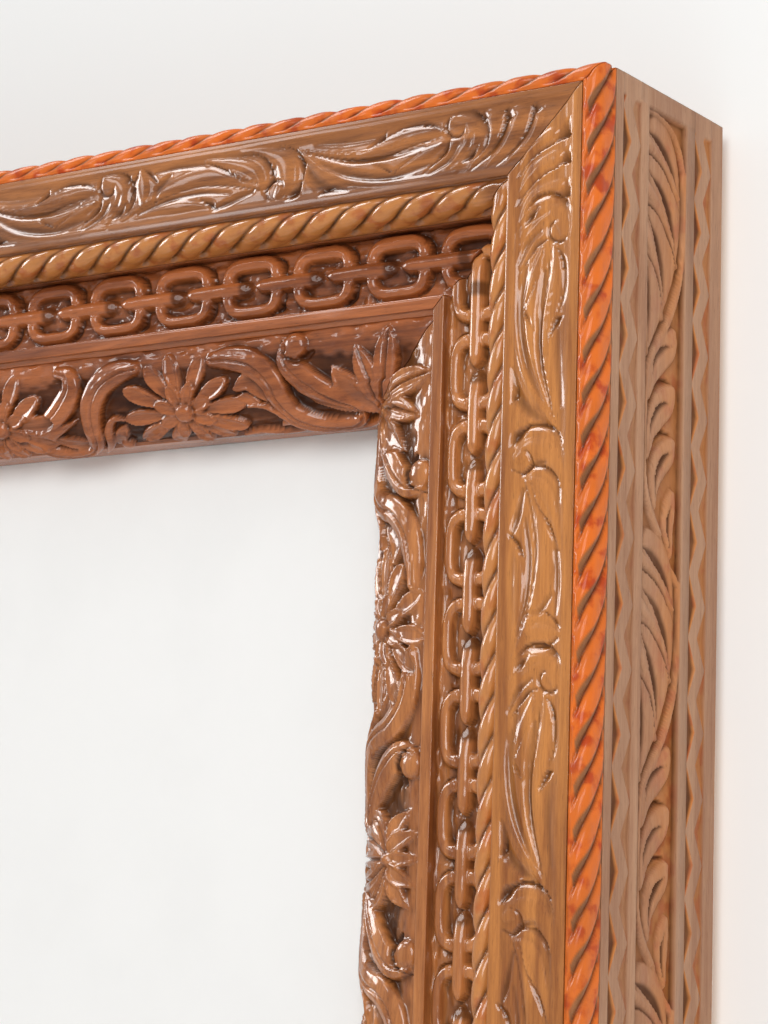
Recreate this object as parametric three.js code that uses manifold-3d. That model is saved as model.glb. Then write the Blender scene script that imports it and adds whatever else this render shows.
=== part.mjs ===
// Carved picture frame: a deep wall frame whose four mitred sides hold a plain white panel.
// Units are millimetres and +Z is up. The front faces -Y and the wall is the plane y = 0.
// The origin lies on the wall, midway between the two places where the hanging rings bear.
//
// Every side is drawn once, as the top side, in its own axes: X runs along the side, Y is the
// depth behind the frame's front plane, and Z falls away from zero at the outer edge to the
// inset towards the opening. The other sides are the same drawing turned about the depth axis.

import * as THREE from 'three';
import { mergeVertices } from 'three/addons/utils/BufferGeometryUtils.js';
import Module from 'manifold-3d';

// Sheets held in the rebate
const SHEET_WIDTH = 406;
const SHEET_HEIGHT = 538;
const PANEL_THICKNESS = 3;
const BACKING_THICKNESS = 4;
const SHEET_PLAY = 1;
const REBATE_LAP = 6;

// Clearance between neighbouring pieces
const JOINT_GAP = 0.3;

// Rim plank, with the roped arris at its front
const FRAME_DEPTH = 100;
const RIM_THICKNESS = 7.5;
const RIM_ROPE_ROUNDING = 5;
const RIM_STRIP_WIDTH = 1.2;
const RIM_STRIP_DROP = 0.3;

// Frieze board, with the small rope along its inner edge
const FRIEZE_THICKNESS = 16.5;
const FRIEZE_FLAT_WIDTH = 32.2;
const SMALL_ROPE_WIDTH = 10.4;
const SMALL_ROPE_HEIGHT = 8;
const SMALL_ROPE_QUIRK = 3;

// Sight board, with the chain band, the fillet and the flowered ovolo
const CHAIN_BAND_WIDTH = 28.6;
const CHAIN_BAND_RECESS = 7.2;
const FILLET_WIDTH = 5;
const QUIRK_WIDTH = 1.3;
const QUIRK_DROP = 2.2;
const OVOLO_WIDTH = 39.7;
const OVOLO_DROP = 25;
const SIGHT_LIP_LENGTH = 14;
const ARC_SEGMENTS = 12;

// Battens behind the sight boards
const BATTEN_WIDTH = 28;
const BATTEN_RECESS = 8;

// Wood screws
const SCREW_SHANK_RADIUS = 1.6;
const SCREW_HEAD_RADIUS = 3.6;
const SCREW_HEAD_HEIGHT = 2.2;
const SCREW_DEPTH = 14;
const SCREW_POINT_LENGTH = 4;
const SCREW_RIM_SHARE = 0.45;
const SCREW_SHOULDER_RADIUS_SHARE = 0.75;
const SCREW_SHOULDER_HEIGHT_SHARE = 0.85;
const PILOT_END_CLEARANCE = 1;
const ROUND_SEGMENTS = 16;

// Turn buttons that keep the sheets in
const BUTTONS_PER_SIDE = 2;
const BUTTON_SETBACK = 11;
const BUTTON_NOSE_LENGTH = 24;
const BUTTON_TAIL_RADIUS = 7;
const BUTTON_NOSE_RADIUS = 4.5;
const BUTTON_THICKNESS = 1.6;

// Hangers: a folded strap with a loose ring
const HANG_DROP = 180;
const RING_WIRE_RADIUS = 1.5;
const RING_HALF_WIDTH = 10.5;
const RING_HEIGHT = 20;
const RING_CORNER_RADIUS = 2.5;
const RING_SIDE_FULLNESS = 0.55;
const RING_CROWN_FULLNESS = 0.6;
const RING_TUBE_SIDES = 10;
const STRAP_THICKNESS = 1.2;
const STRAP_WIDTH = 14;
const STRAP_LENGTH = 42;
const STRAP_UPPER_HOLE = 10;
const STRAP_LOWER_HOLE = 34;

// Insets from the outer face, across the width of a side
const BOARD_INSET = RIM_THICKNESS + JOINT_GAP;
const SMALL_ROPE_INSET = BOARD_INSET + FRIEZE_FLAT_WIDTH;
const CHAIN_BAND_INSET = SMALL_ROPE_INSET + SMALL_ROPE_WIDTH;
const FILLET_INSET = CHAIN_BAND_INSET + CHAIN_BAND_WIDTH;
const QUIRK_INSET = FILLET_INSET + FILLET_WIDTH;
const OVOLO_INSET = QUIRK_INSET + QUIRK_WIDTH;
const FACE_WIDTH = OVOLO_INSET + OVOLO_WIDTH;
const REBATE_INSET = FACE_WIDTH - REBATE_LAP;

// Depths behind the front plane
const SIGHT_FRONT = FRIEZE_THICKNESS + JOINT_GAP;
const OVOLO_FRONT = SIGHT_FRONT + QUIRK_DROP;
const SIGHT_EDGE = OVOLO_FRONT + OVOLO_DROP;
const REBATE_FLOOR = SIGHT_EDGE + SIGHT_LIP_LENGTH;
const PANEL_FRONT = REBATE_FLOOR + JOINT_GAP;
const BACKING_FRONT = PANEL_FRONT + PANEL_THICKNESS + JOINT_GAP;
const SIGHT_BACK = BACKING_FRONT + BACKING_THICKNESS;
const BATTEN_FRONT = SIGHT_BACK + JOINT_GAP;
const BATTEN_BACK = FRAME_DEPTH - BATTEN_RECESS;
const BUTTON_FRONT = SIGHT_BACK + JOINT_GAP;
const BUTTON_HEAD_SEAT = BUTTON_FRONT + BUTTON_THICKNESS + JOINT_GAP;

// Overall size, worked out from the sheet
const REBATE_WIDTH = SHEET_WIDTH + 2 * SHEET_PLAY;
const REBATE_HEIGHT = SHEET_HEIGHT + 2 * SHEET_PLAY;
const FRAME_WIDTH = REBATE_WIDTH + 2 * REBATE_INSET;
const FRAME_HEIGHT = REBATE_HEIGHT + 2 * REBATE_INSET;

// Hanger places, from the pivot of its ring
const LOOP_INNER_RADIUS = RING_WIRE_RADIUS + JOINT_GAP;
const LOOP_OUTER_RADIUS = LOOP_INNER_RADIUS + STRAP_THICKNESS;
const PIVOT_DEPTH = BATTEN_BACK + JOINT_GAP + LOOP_OUTER_RADIUS;
const RING_LEAN = Math.asin((LOOP_OUTER_RADIUS - RING_WIRE_RADIUS) / RING_HEIGHT);
const RING_BEARING = (RING_HEIGHT - RING_WIRE_RADIUS) * Math.cos(RING_LEAN);
const STRAP_SEAT = -LOOP_OUTER_RADIUS + STRAP_THICKNESS + JOINT_GAP;

const SIDES = [
  { name: 'top', length: FRAME_WIDTH, reach: FRAME_HEIGHT / 2, turn: 0, rebate: REBATE_WIDTH },
  { name: 'right', length: FRAME_HEIGHT, reach: FRAME_WIDTH / 2, turn: Math.PI / 2, rebate: REBATE_HEIGHT },
  { name: 'bottom', length: FRAME_WIDTH, reach: FRAME_HEIGHT / 2, turn: Math.PI, rebate: REBATE_WIDTH },
  { name: 'left', length: FRAME_HEIGHT, reach: FRAME_WIDTH / 2, turn: -Math.PI / 2, rebate: REBATE_HEIGHT },
];

const FINISHES = {
  orangeWood: new THREE.MeshStandardMaterial({ color: 0xb98a66, roughness: 0.55, metalness: 0 }),
  goldenWood: new THREE.MeshStandardMaterial({ color: 0xa86f38, roughness: 0.3, metalness: 0 }),
  redWood: new THREE.MeshStandardMaterial({ color: 0x8a4b23, roughness: 0.3, metalness: 0 }),
  whitePanel: new THREE.MeshStandardMaterial({ color: 0xf3f2f0, roughness: 0.8, metalness: 0 }),
  hardboard: new THREE.MeshStandardMaterial({ color: 0x8b6844, roughness: 0.8, metalness: 0 }),
  paleWood: new THREE.MeshStandardMaterial({ color: 0xcfae7d, roughness: 0.7, metalness: 0 }),
  brass: new THREE.MeshStandardMaterial({ color: 0xc9a24e, roughness: 0.35, metalness: 1 }),
  steel: new THREE.MeshStandardMaterial({ color: 0xb9bbbd, roughness: 0.35, metalness: 1 }),
};

const manifold = await Module();
manifold.setup();

/** Closed solid of a geometry, for cutting. */
function toSolid(geometry) {
  const bare = geometry.clone();
  bare.deleteAttribute('normal');
  bare.deleteAttribute('uv');
  const merged = mergeVertices(bare, 1e-4);
  const vertProperties = new Float32Array(merged.attributes.position.array);
  const triVerts = new Uint32Array(merged.index.array);
  return new manifold.Manifold(new manifold.Mesh({ numProp: 3, vertProperties, triVerts }));
}

/** Geometry of a solid after cutting. */
function toGeometry(solid) {
  const mesh = solid.getMesh();
  const geometry = new THREE.BufferGeometry();
  geometry.setAttribute('position', new THREE.BufferAttribute(mesh.vertProperties, 3));
  geometry.setIndex(new THREE.BufferAttribute(mesh.triVerts, 1));
  geometry.computeVertexNormals();
  return geometry;
}

/** A geometry with others cut out of it. */
function cut(geometry, cutters) {
  let solid = toSolid(geometry);
  for (const cutter of cutters) {
    solid = solid.subtract(toSolid(cutter));
  }
  return toGeometry(solid);
}

/** A named mesh placed at x, y, z. */
function piece(name, geometry, material, x = 0, y = 0, z = 0) {
  const mesh = new THREE.Mesh(geometry, material);
  mesh.name = name;
  mesh.position.set(x, y, z);
  return mesh;
}

/** Length of a side's section swept along X, its ends mitred from the outer corners. */
function mitredSide(section, length) {
  const geometry = new THREE.ExtrudeGeometry(section, {
    depth: 1,
    bevelEnabled: false,
    curveSegments: ARC_SEGMENTS,
  });
  const position = geometry.attributes.position;
  const endGap = JOINT_GAP * Math.SQRT1_2;
  for (let i = 0; i < position.count; i += 1) {
    const inset = position.getX(i);
    const depth = position.getY(i);
    const halfLength = length / 2 - inset - endGap;
    const along = position.getZ(i) > 0.5 ? halfLength : -halfLength;
    position.setXYZ(i, along, depth, -inset);
  }
  geometry.computeVertexNormals();
  return geometry;
}

/** Pilot hole along Y for a screw that enters at a depth. */
function pilotHole(x, entry, z) {
  const radius = SCREW_SHANK_RADIUS + JOINT_GAP;
  const length = SCREW_DEPTH + PILOT_END_CLEARANCE + JOINT_GAP;
  const hole = new THREE.CylinderGeometry(radius, radius, length, ROUND_SEGMENTS);
  hole.translate(x, entry + JOINT_GAP - length / 2, z);
  return hole;
}

/** Section of the rim plank: inset, then depth. */
function rimSection() {
  const section = new THREE.Shape();
  section.moveTo(RIM_THICKNESS, RIM_STRIP_DROP);
  section.lineTo(RIM_THICKNESS, FRAME_DEPTH);
  section.lineTo(0, FRAME_DEPTH);
  section.lineTo(0, RIM_ROPE_ROUNDING);
  section.absarc(RIM_ROPE_ROUNDING, RIM_ROPE_ROUNDING, RIM_ROPE_ROUNDING, Math.PI, 1.5 * Math.PI, false);
  section.lineTo(RIM_THICKNESS - RIM_STRIP_WIDTH, 0);
  section.lineTo(RIM_THICKNESS - RIM_STRIP_WIDTH, RIM_STRIP_DROP);
  section.closePath();
  return section;
}

/** Section of the frieze board: a flat face, a quirk and the small rope's round. */
function friezeSection() {
  const halfRope = SMALL_ROPE_WIDTH / 2;
  const section = new THREE.Shape();
  section.moveTo(BOARD_INSET, 0);
  section.lineTo(SMALL_ROPE_INSET, 0);
  section.lineTo(SMALL_ROPE_INSET, SMALL_ROPE_QUIRK);
  const start = Math.PI + Math.asin(1 - SMALL_ROPE_QUIRK / SMALL_ROPE_HEIGHT);
  const centre = SMALL_ROPE_INSET - halfRope * Math.cos(start);
  const innerWidth = CHAIN_BAND_INSET - centre;
  const height = SMALL_ROPE_HEIGHT;
  section.absellipse(centre, height, halfRope, height, start, 1.5 * Math.PI, false);
  section.absellipse(centre, height, innerWidth, height, 1.5 * Math.PI, 2 * Math.PI, false);
  section.lineTo(CHAIN_BAND_INSET, FRIEZE_THICKNESS);
  section.lineTo(BOARD_INSET, FRIEZE_THICKNESS);
  section.closePath();
  return section;
}

/** Section of the sight board: seat for the frieze board, chain band, fillet, ovolo and rebate. */
function sightSection() {
  const section = new THREE.Shape();
  section.moveTo(BOARD_INSET, SIGHT_FRONT);
  section.lineTo(CHAIN_BAND_INSET, SIGHT_FRONT);
  section.lineTo(CHAIN_BAND_INSET, SIGHT_FRONT + CHAIN_BAND_RECESS);
  section.lineTo(FILLET_INSET, SIGHT_FRONT + CHAIN_BAND_RECESS);
  section.lineTo(FILLET_INSET, SIGHT_FRONT);
  section.lineTo(QUIRK_INSET, SIGHT_FRONT);
  section.lineTo(QUIRK_INSET, OVOLO_FRONT);
  section.lineTo(OVOLO_INSET, OVOLO_FRONT);
  section.absellipse(OVOLO_INSET, SIGHT_EDGE, OVOLO_WIDTH, OVOLO_DROP, 1.5 * Math.PI, 2 * Math.PI, false);
  section.lineTo(FACE_WIDTH, REBATE_FLOOR);
  section.lineTo(REBATE_INSET, REBATE_FLOOR);
  section.lineTo(REBATE_INSET, SIGHT_BACK);
  section.lineTo(BOARD_INSET, SIGHT_BACK);
  section.closePath();
  return section;
}

/** Places of the turn buttons along a side, from its middle. */
function buttonPlaces(rebateLength) {
  const places = [];
  for (let i = 0; i < BUTTONS_PER_SIDE; i += 1) {
    places.push(((i + 0.5) / BUTTONS_PER_SIDE - 0.5) * rebateLength);
  }
  return places;
}

/** Flat tapered plate with a round tail at its screw and a rounded nose over the backing. */
function buttonGeometry() {
  const noseCentre = BUTTON_NOSE_LENGTH - BUTTON_NOSE_RADIUS;
  const taper = Math.asin((BUTTON_TAIL_RADIUS - BUTTON_NOSE_RADIUS) / noseCentre);
  const shape = new THREE.Shape();
  shape.absarc(0, 0, BUTTON_TAIL_RADIUS, Math.PI - taper, taper, false);
  shape.absarc(0, noseCentre, BUTTON_NOSE_RADIUS, taper, Math.PI - taper, false);
  shape.closePath();
  const hole = new THREE.Path();
  hole.absarc(0, 0, SCREW_SHANK_RADIUS + JOINT_GAP, 0, 2 * Math.PI, true);
  shape.holes.push(hole);
  const geometry = new THREE.ExtrudeGeometry(shape, {
    depth: BUTTON_THICKNESS,
    bevelEnabled: false,
    curveSegments: ARC_SEGMENTS,
  });
  geometry.rotateX(-Math.PI / 2);
  return geometry;
}

/** Pan-headed wood screw along Y whose head starts above a seat at y = 0. */
function screwGeometry(reach) {
  const rimHeight = SCREW_HEAD_HEIGHT * SCREW_RIM_SHARE;
  const shoulderRadius = SCREW_HEAD_RADIUS * SCREW_SHOULDER_RADIUS_SHARE;
  const shoulderHeight = SCREW_HEAD_HEIGHT * SCREW_SHOULDER_HEIGHT_SHARE;
  const profile = [
    new THREE.Vector2(0, -reach),
    new THREE.Vector2(SCREW_SHANK_RADIUS, -reach + SCREW_POINT_LENGTH),
    new THREE.Vector2(SCREW_SHANK_RADIUS, 0),
    new THREE.Vector2(SCREW_HEAD_RADIUS, 0),
    new THREE.Vector2(SCREW_HEAD_RADIUS, rimHeight),
    new THREE.Vector2(shoulderRadius, shoulderHeight),
    new THREE.Vector2(0, SCREW_HEAD_HEIGHT),
  ];
  return new THREE.LatheGeometry(profile, ROUND_SEGMENTS);
}

/** Strap along -Z below the pivot at the origin, rolled into a loop round the ring's bar. */
function strapGeometry() {
  const innerFace = -LOOP_OUTER_RADIUS + STRAP_THICKNESS;
  const meeting = Math.PI + Math.acos(-innerFace / LOOP_OUTER_RADIUS);
  const shape = new THREE.Shape();
  shape.moveTo(innerFace, -STRAP_LENGTH);
  shape.absarc(0, 0, LOOP_OUTER_RADIUS, meeting, Math.PI, false);
  shape.lineTo(-LOOP_OUTER_RADIUS, -STRAP_LENGTH);
  shape.closePath();
  const eye = new THREE.Path();
  eye.absarc(0, 0, LOOP_INNER_RADIUS, 0, 2 * Math.PI, true);
  shape.holes.push(eye);
  const geometry = new THREE.ExtrudeGeometry(shape, {
    depth: STRAP_WIDTH,
    bevelEnabled: false,
    curveSegments: ARC_SEGMENTS,
  });
  geometry.translate(0, 0, -STRAP_WIDTH / 2);
  const toFrame = new THREE.Matrix4().makeBasis(
    new THREE.Vector3(0, 1, 0),
    new THREE.Vector3(0, 0, 1),
    new THREE.Vector3(1, 0, 0),
  );
  geometry.applyMatrix4(toFrame);
  const holes = [STRAP_UPPER_HOLE, STRAP_LOWER_HOLE].map((drop) => {
    const radius = SCREW_SHANK_RADIUS + JOINT_GAP;
    const hole = new THREE.CylinderGeometry(radius, radius, 4 * LOOP_OUTER_RADIUS, ROUND_SEGMENTS);
    hole.translate(0, 0, -drop);
    return hole;
  });
  return cut(geometry, holes);
}

/** Outline of the ring's wire in its own plane, its straight bar through the pivot. */
function ringOutline() {
  const barEnd = RING_HALF_WIDTH - RING_CORNER_RADIUS;
  const sidePull = RING_CORNER_RADIUS + (RING_HEIGHT - RING_CORNER_RADIUS) * RING_SIDE_FULLNESS;
  const crownPull = RING_HALF_WIDTH * RING_CROWN_FULLNESS;
  const outline = new THREE.Path();
  outline.moveTo(-barEnd, 0);
  outline.lineTo(barEnd, 0);
  outline.quadraticCurveTo(RING_HALF_WIDTH, 0, RING_HALF_WIDTH, RING_CORNER_RADIUS);
  outline.bezierCurveTo(RING_HALF_WIDTH, sidePull, crownPull, RING_HEIGHT, 0, RING_HEIGHT);
  const cornerEnd = new THREE.Vector2(-RING_HALF_WIDTH, RING_CORNER_RADIUS);
  outline.bezierCurveTo(-crownPull, RING_HEIGHT, cornerEnd.x, sidePull, cornerEnd.x, cornerEnd.y);
  outline.quadraticCurveTo(-RING_HALF_WIDTH, 0, -barEnd, 0);
  const points = outline.getPoints(ARC_SEGMENTS);
  points.pop();
  return points;
}

/** Unbroken round wire along the ring's outline, in the plane y = 0. */
function ringGeometry() {
  const points = ringOutline();
  const count = points.length;
  const positions = [];
  const indices = [];
  for (let i = 0; i < count; i += 1) {
    const before = points[(i + count - 1) % count];
    const after = points[(i + 1) % count];
    const tangent = after.clone().sub(before).normalize();
    for (let j = 0; j < RING_TUBE_SIDES; j += 1) {
      const angle = (2 * Math.PI * j) / RING_TUBE_SIDES;
      const outward = RING_WIRE_RADIUS * Math.cos(angle);
      const sideways = RING_WIRE_RADIUS * Math.sin(angle);
      positions.push(points[i].x + tangent.y * outward, sideways, points[i].y - tangent.x * outward);
    }
  }
  for (let i = 0; i < count; i += 1) {
    for (let j = 0; j < RING_TUBE_SIDES; j += 1) {
      const nextRing = ((i + 1) % count) * RING_TUBE_SIDES;
      const nextSide = (j + 1) % RING_TUBE_SIDES;
      const a = i * RING_TUBE_SIDES + j;
      const b = i * RING_TUBE_SIDES + nextSide;
      const c = nextRing + j;
      const d = nextRing + nextSide;
      indices.push(a, b, c, b, d, c);
    }
  }
  const geometry = new THREE.BufferGeometry();
  geometry.setAttribute('position', new THREE.Float32BufferAttribute(positions, 3));
  geometry.setIndex(indices);
  geometry.computeVertexNormals();
  return geometry;
}

/** One side: rim plank, frieze board, sight board, and its turn buttons with their screws. */
function sideGroup(side) {
  const group = new THREE.Group();
  group.rotation.y = side.turn;
  const places = buttonPlaces(side.rebate);
  const pivotInset = REBATE_INSET - BUTTON_SETBACK;
  const pilots = places.map((x) => pilotHole(x, SIGHT_BACK, -pivotInset));
  const sightBoard = cut(mitredSide(sightSection(), side.length), pilots);
  const rimPlank = mitredSide(rimSection(), side.length);
  const friezeBoard = mitredSide(friezeSection(), side.length);
  group.add(piece(`rim_plank_${side.name}`, rimPlank, FINISHES.orangeWood, 0, 0, side.reach));
  group.add(piece(`frieze_board_${side.name}`, friezeBoard, FINISHES.goldenWood, 0, 0, side.reach));
  group.add(piece(`sight_board_${side.name}`, sightBoard, FINISHES.redWood, 0, 0, side.reach));
  const pivotZ = side.reach - pivotInset;
  const screwReach = SCREW_DEPTH + BUTTON_HEAD_SEAT - SIGHT_BACK;
  places.forEach((x, i) => {
    const label = `${side.name}_${i + 1}`;
    const screw = screwGeometry(screwReach);
    group.add(piece(`turn_button_${label}`, buttonGeometry(), FINISHES.brass, x, BUTTON_FRONT, pivotZ));
    group.add(piece(`button_screw_${label}`, screw, FINISHES.brass, x, BUTTON_HEAD_SEAT, pivotZ));
  });
  return group;
}

/** Batten as a plain bar between two corners, drilled where screws enter its back. */
function batten(name, low, high, pilots) {
  const size = high.clone().sub(low);
  const bar = new THREE.BoxGeometry(size.x, size.y, size.z);
  bar.translate((low.x + high.x) / 2, (low.y + high.y) / 2, (low.z + high.z) / 2);
  const geometry = pilots.length > 0 ? cut(bar, pilots) : bar;
  return piece(name, geometry, FINISHES.paleWood);
}

/** Hanger on the back of a side batten: strap, ring and two screws. */
function hangerGroup(name, x, pivotZ) {
  const group = new THREE.Group();
  group.position.set(x, PIVOT_DEPTH, pivotZ);
  const ring = piece(`hanger_ring_${name}`, ringGeometry(), FINISHES.steel);
  ring.rotation.x = RING_LEAN;
  group.add(piece(`hanger_strap_${name}`, strapGeometry(), FINISHES.steel), ring);
  const screwReach = SCREW_DEPTH + STRAP_SEAT + LOOP_OUTER_RADIUS + JOINT_GAP;
  for (const [place, drop] of [['upper', STRAP_UPPER_HOLE], ['lower', STRAP_LOWER_HOLE]]) {
    const screw = screwGeometry(screwReach);
    group.add(piece(`hanger_screw_${name}_${place}`, screw, FINISHES.steel, 0, STRAP_SEAT, -drop));
  }
  return group;
}

/** Four battens glued behind the sight boards, and the two hangers on the upright ones. */
function backGroup(pivotZ) {
  const group = new THREE.Group();
  const halfWidth = FRAME_WIDTH / 2 - BOARD_INSET;
  const halfHeight = FRAME_HEIGHT / 2 - BOARD_INSET;
  const innerX = halfWidth - BATTEN_WIDTH;
  const innerZ = halfHeight - BATTEN_WIDTH;
  const uprightZ = innerZ - JOINT_GAP;
  const front = (x, z) => new THREE.Vector3(x, BATTEN_FRONT, z);
  const back = (x, z) => new THREE.Vector3(x, BATTEN_BACK, z);
  group.add(batten('back_batten_top', front(-halfWidth, innerZ), back(halfWidth, halfHeight), []));
  group.add(batten('back_batten_bottom', front(-halfWidth, -halfHeight), back(halfWidth, -innerZ), []));
  const hangerX = (halfWidth + innerX) / 2;
  for (const [name, sign] of [['left', -1], ['right', 1]]) {
    const low = front(Math.min(sign * innerX, sign * halfWidth), -uprightZ);
    const high = back(Math.max(sign * innerX, sign * halfWidth), uprightZ);
    const drops = [STRAP_UPPER_HOLE, STRAP_LOWER_HOLE];
    const pilots = drops.map((drop) => pilotHole(sign * hangerX, BATTEN_BACK, pivotZ - drop));
    group.add(batten(`back_batten_${name}`, low, high, pilots));
    group.add(hangerGroup(name, sign * hangerX, pivotZ));
  }
  return group;
}

/** Flat sheet that fills the rebate, less its play. */
function sheet(name, front, thickness, material) {
  const geometry = new THREE.BoxGeometry(SHEET_WIDTH, thickness, SHEET_HEIGHT);
  return piece(name, geometry, material, 0, front + thickness / 2, 0);
}

/** Whole frame, about the middle of its front plane, then set so that the rings bear at the origin. */
function carvedFrame() {
  const centreZ = HANG_DROP - FRAME_HEIGHT / 2;
  const frame = new THREE.Group();
  frame.position.set(0, -FRAME_DEPTH, centreZ);
  for (const side of SIDES) {
    frame.add(sideGroup(side));
  }
  frame.add(sheet('picture_panel', PANEL_FRONT, PANEL_THICKNESS, FINISHES.whitePanel));
  frame.add(sheet('backing_board', BACKING_FRONT, BACKING_THICKNESS, FINISHES.hardboard));
  frame.add(backGroup(-RING_BEARING - centreZ));
  const whole = new THREE.Group();
  whole.add(frame);
  return whole;
}

export default carvedFrame();
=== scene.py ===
"""Carved picture frame: the looks of its boards, carving, panel and back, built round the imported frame.

Sizes in the carving are millimetres. A place on a side is given by u, the distance along the side from
the nearer outer corner, and by the inset from the outer face or the depth behind the front plane.
"""

import logging
import math
from dataclasses import dataclass, replace
from enum import Enum
from typing import Callable

import bpy
import numpy as np
from mathutils import Matrix, Vector


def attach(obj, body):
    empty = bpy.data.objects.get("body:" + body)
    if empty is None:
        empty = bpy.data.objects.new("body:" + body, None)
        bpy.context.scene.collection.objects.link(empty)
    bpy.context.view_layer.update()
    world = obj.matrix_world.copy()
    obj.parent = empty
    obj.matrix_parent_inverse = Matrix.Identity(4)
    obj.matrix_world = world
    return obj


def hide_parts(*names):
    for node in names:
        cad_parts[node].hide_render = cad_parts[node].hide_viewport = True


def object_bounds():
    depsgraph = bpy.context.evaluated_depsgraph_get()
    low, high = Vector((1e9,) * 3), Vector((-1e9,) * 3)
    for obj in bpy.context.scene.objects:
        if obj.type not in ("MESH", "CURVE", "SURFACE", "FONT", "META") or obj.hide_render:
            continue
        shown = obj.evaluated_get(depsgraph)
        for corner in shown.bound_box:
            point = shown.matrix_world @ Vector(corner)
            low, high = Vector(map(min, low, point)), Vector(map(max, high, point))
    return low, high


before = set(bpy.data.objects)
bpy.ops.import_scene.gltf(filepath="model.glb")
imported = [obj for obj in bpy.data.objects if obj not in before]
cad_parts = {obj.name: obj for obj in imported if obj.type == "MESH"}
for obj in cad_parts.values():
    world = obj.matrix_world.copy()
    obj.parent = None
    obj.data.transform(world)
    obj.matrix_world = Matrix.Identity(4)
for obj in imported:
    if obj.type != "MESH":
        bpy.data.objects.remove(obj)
CAD_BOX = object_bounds()

LOG = logging.getLogger("carved_frame")
MM = 0.001
BODY = "frame"
SIDE_NAMES = ("top", "right", "bottom", "left")

Grid = np.ndarray
Point = tuple[float, float, float]
Colour = tuple[float, float, float, float]
Heights = tuple[float, ...]


class Way(Enum):
    """Which way the grain of a member runs."""

    ACROSS = "across"
    UPRIGHT = "upright"


class Form(Enum):
    """How a carved stroke stands across its width."""

    ROUND = "round"
    PETAL = "petal"
    LEAF = "leaf"
    RIBBED = "ribbed"
    GOUGE = "gouge"
    CUT = "cut"
    HOLLOW = "hollow"
    SWELL = "swell"
    CHIP = "chip"


def smooth(low: float, high: float, value: Grid) -> Grid:
    """Smooth step of value from 0 at low to 1 at high."""
    share = np.clip((value - low) / (high - low), 0.0, 1.0)
    return share * share * (3.0 - 2.0 * share)


def softened(field: Grid, reach: int) -> Grid:
    """Mean of a field over a square neighbourhood.

    Args:
        field: Values on a grid.
        reach: Cells taken on each side.

    Returns:
        The field with its fine changes evened out.
    """
    for axis in (0, 1):
        pad = [(0, 0), (0, 0)]
        pad[axis] = (reach + 1, reach)
        total = np.cumsum(np.pad(field, pad, mode="edge"), axis=axis)
        size = field.shape[axis]
        width = 2 * reach + 1
        high = np.take(total, range(width, width + size), axis=axis)
        low = np.take(total, range(0, size), axis=axis)
        field = (high - low) / width
    return field


@dataclass(frozen=True)
class Unevenness:
    """Smooth seeded noise over a surface, for the unevenness of hand work."""

    seed: int
    rise: float
    along: float
    across: float

    CELLS = 256

    def at(self, u: Grid, v: Grid) -> Grid:
        """Height of the unevenness at places on the surface.

        Args:
            u: Distances along.
            v: Distances across.

        Returns:
            One value for each place.
        """
        values = np.random.default_rng(self.seed).uniform(-1.0, 1.0, (self.CELLS, self.CELLS))
        a = u / self.along
        b = v / self.across
        i = np.floor(a).astype(int)
        j = np.floor(b).astype(int)
        fa = smooth(0.0, 1.0, a - i)
        fb = smooth(0.0, 1.0, b - j)
        n = self.CELLS
        near = values[i % n, j % n] * (1 - fa) + values[(i + 1) % n, j % n] * fa
        far = values[i % n, (j + 1) % n] * (1 - fa) + values[(i + 1) % n, (j + 1) % n] * fa
        return self.rise * (near * (1 - fb) + far * fb)


@dataclass(frozen=True)
class Stroke:
    """One carved form: a line of places, each with half the form's width there, and its height."""

    form: Form
    points: tuple[Point, ...]
    rise: Heights
    hand: int = 1

    SPAN_STEPS = 8

    def moved(self, along: float) -> "Stroke":
        """The stroke shifted along the side."""
        return replace(self, points=tuple((u + along, v, w) for u, v, w in self.points))

    def mirrored(self, about: float) -> "Stroke":
        """The stroke mirrored about a place along the side."""
        points = tuple((2 * about - u, v, w) for u, v, w in self.points)
        return replace(self, points=points, hand=-self.hand)

    def line(self) -> Grid:
        """The stroke's smooth line: u, v, half width and height in each row.

        Returns:
            One row for each place, with the ends included.
        """
        knots = np.array(self.points, float)
        ends = np.vstack([2 * knots[0] - knots[1], knots, 2 * knots[-1] - knots[-2]])
        t = np.linspace(0.0, 1.0, self.SPAN_STEPS, endpoint=False)[:, None]
        spans = []
        for k in range(len(knots) - 1):
            a, b, c, d = ends[k:k + 4]
            curve = 2 * b + (c - a) * t + (2 * a - 5 * b + 4 * c - d) * t**2 + (3 * b - a - 3 * c + d) * t**3
            spans.append(0.5 * curve)
        line = np.vstack([*spans, knots[-1:]])
        line[:, 2] = np.maximum(line[:, 2], 0.05)
        share = np.linspace(0.0, 1.0, len(line))
        height = np.interp(share, np.linspace(0.0, 1.0, len(self.rise)), self.rise)
        return np.column_stack([line, height])


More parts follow.
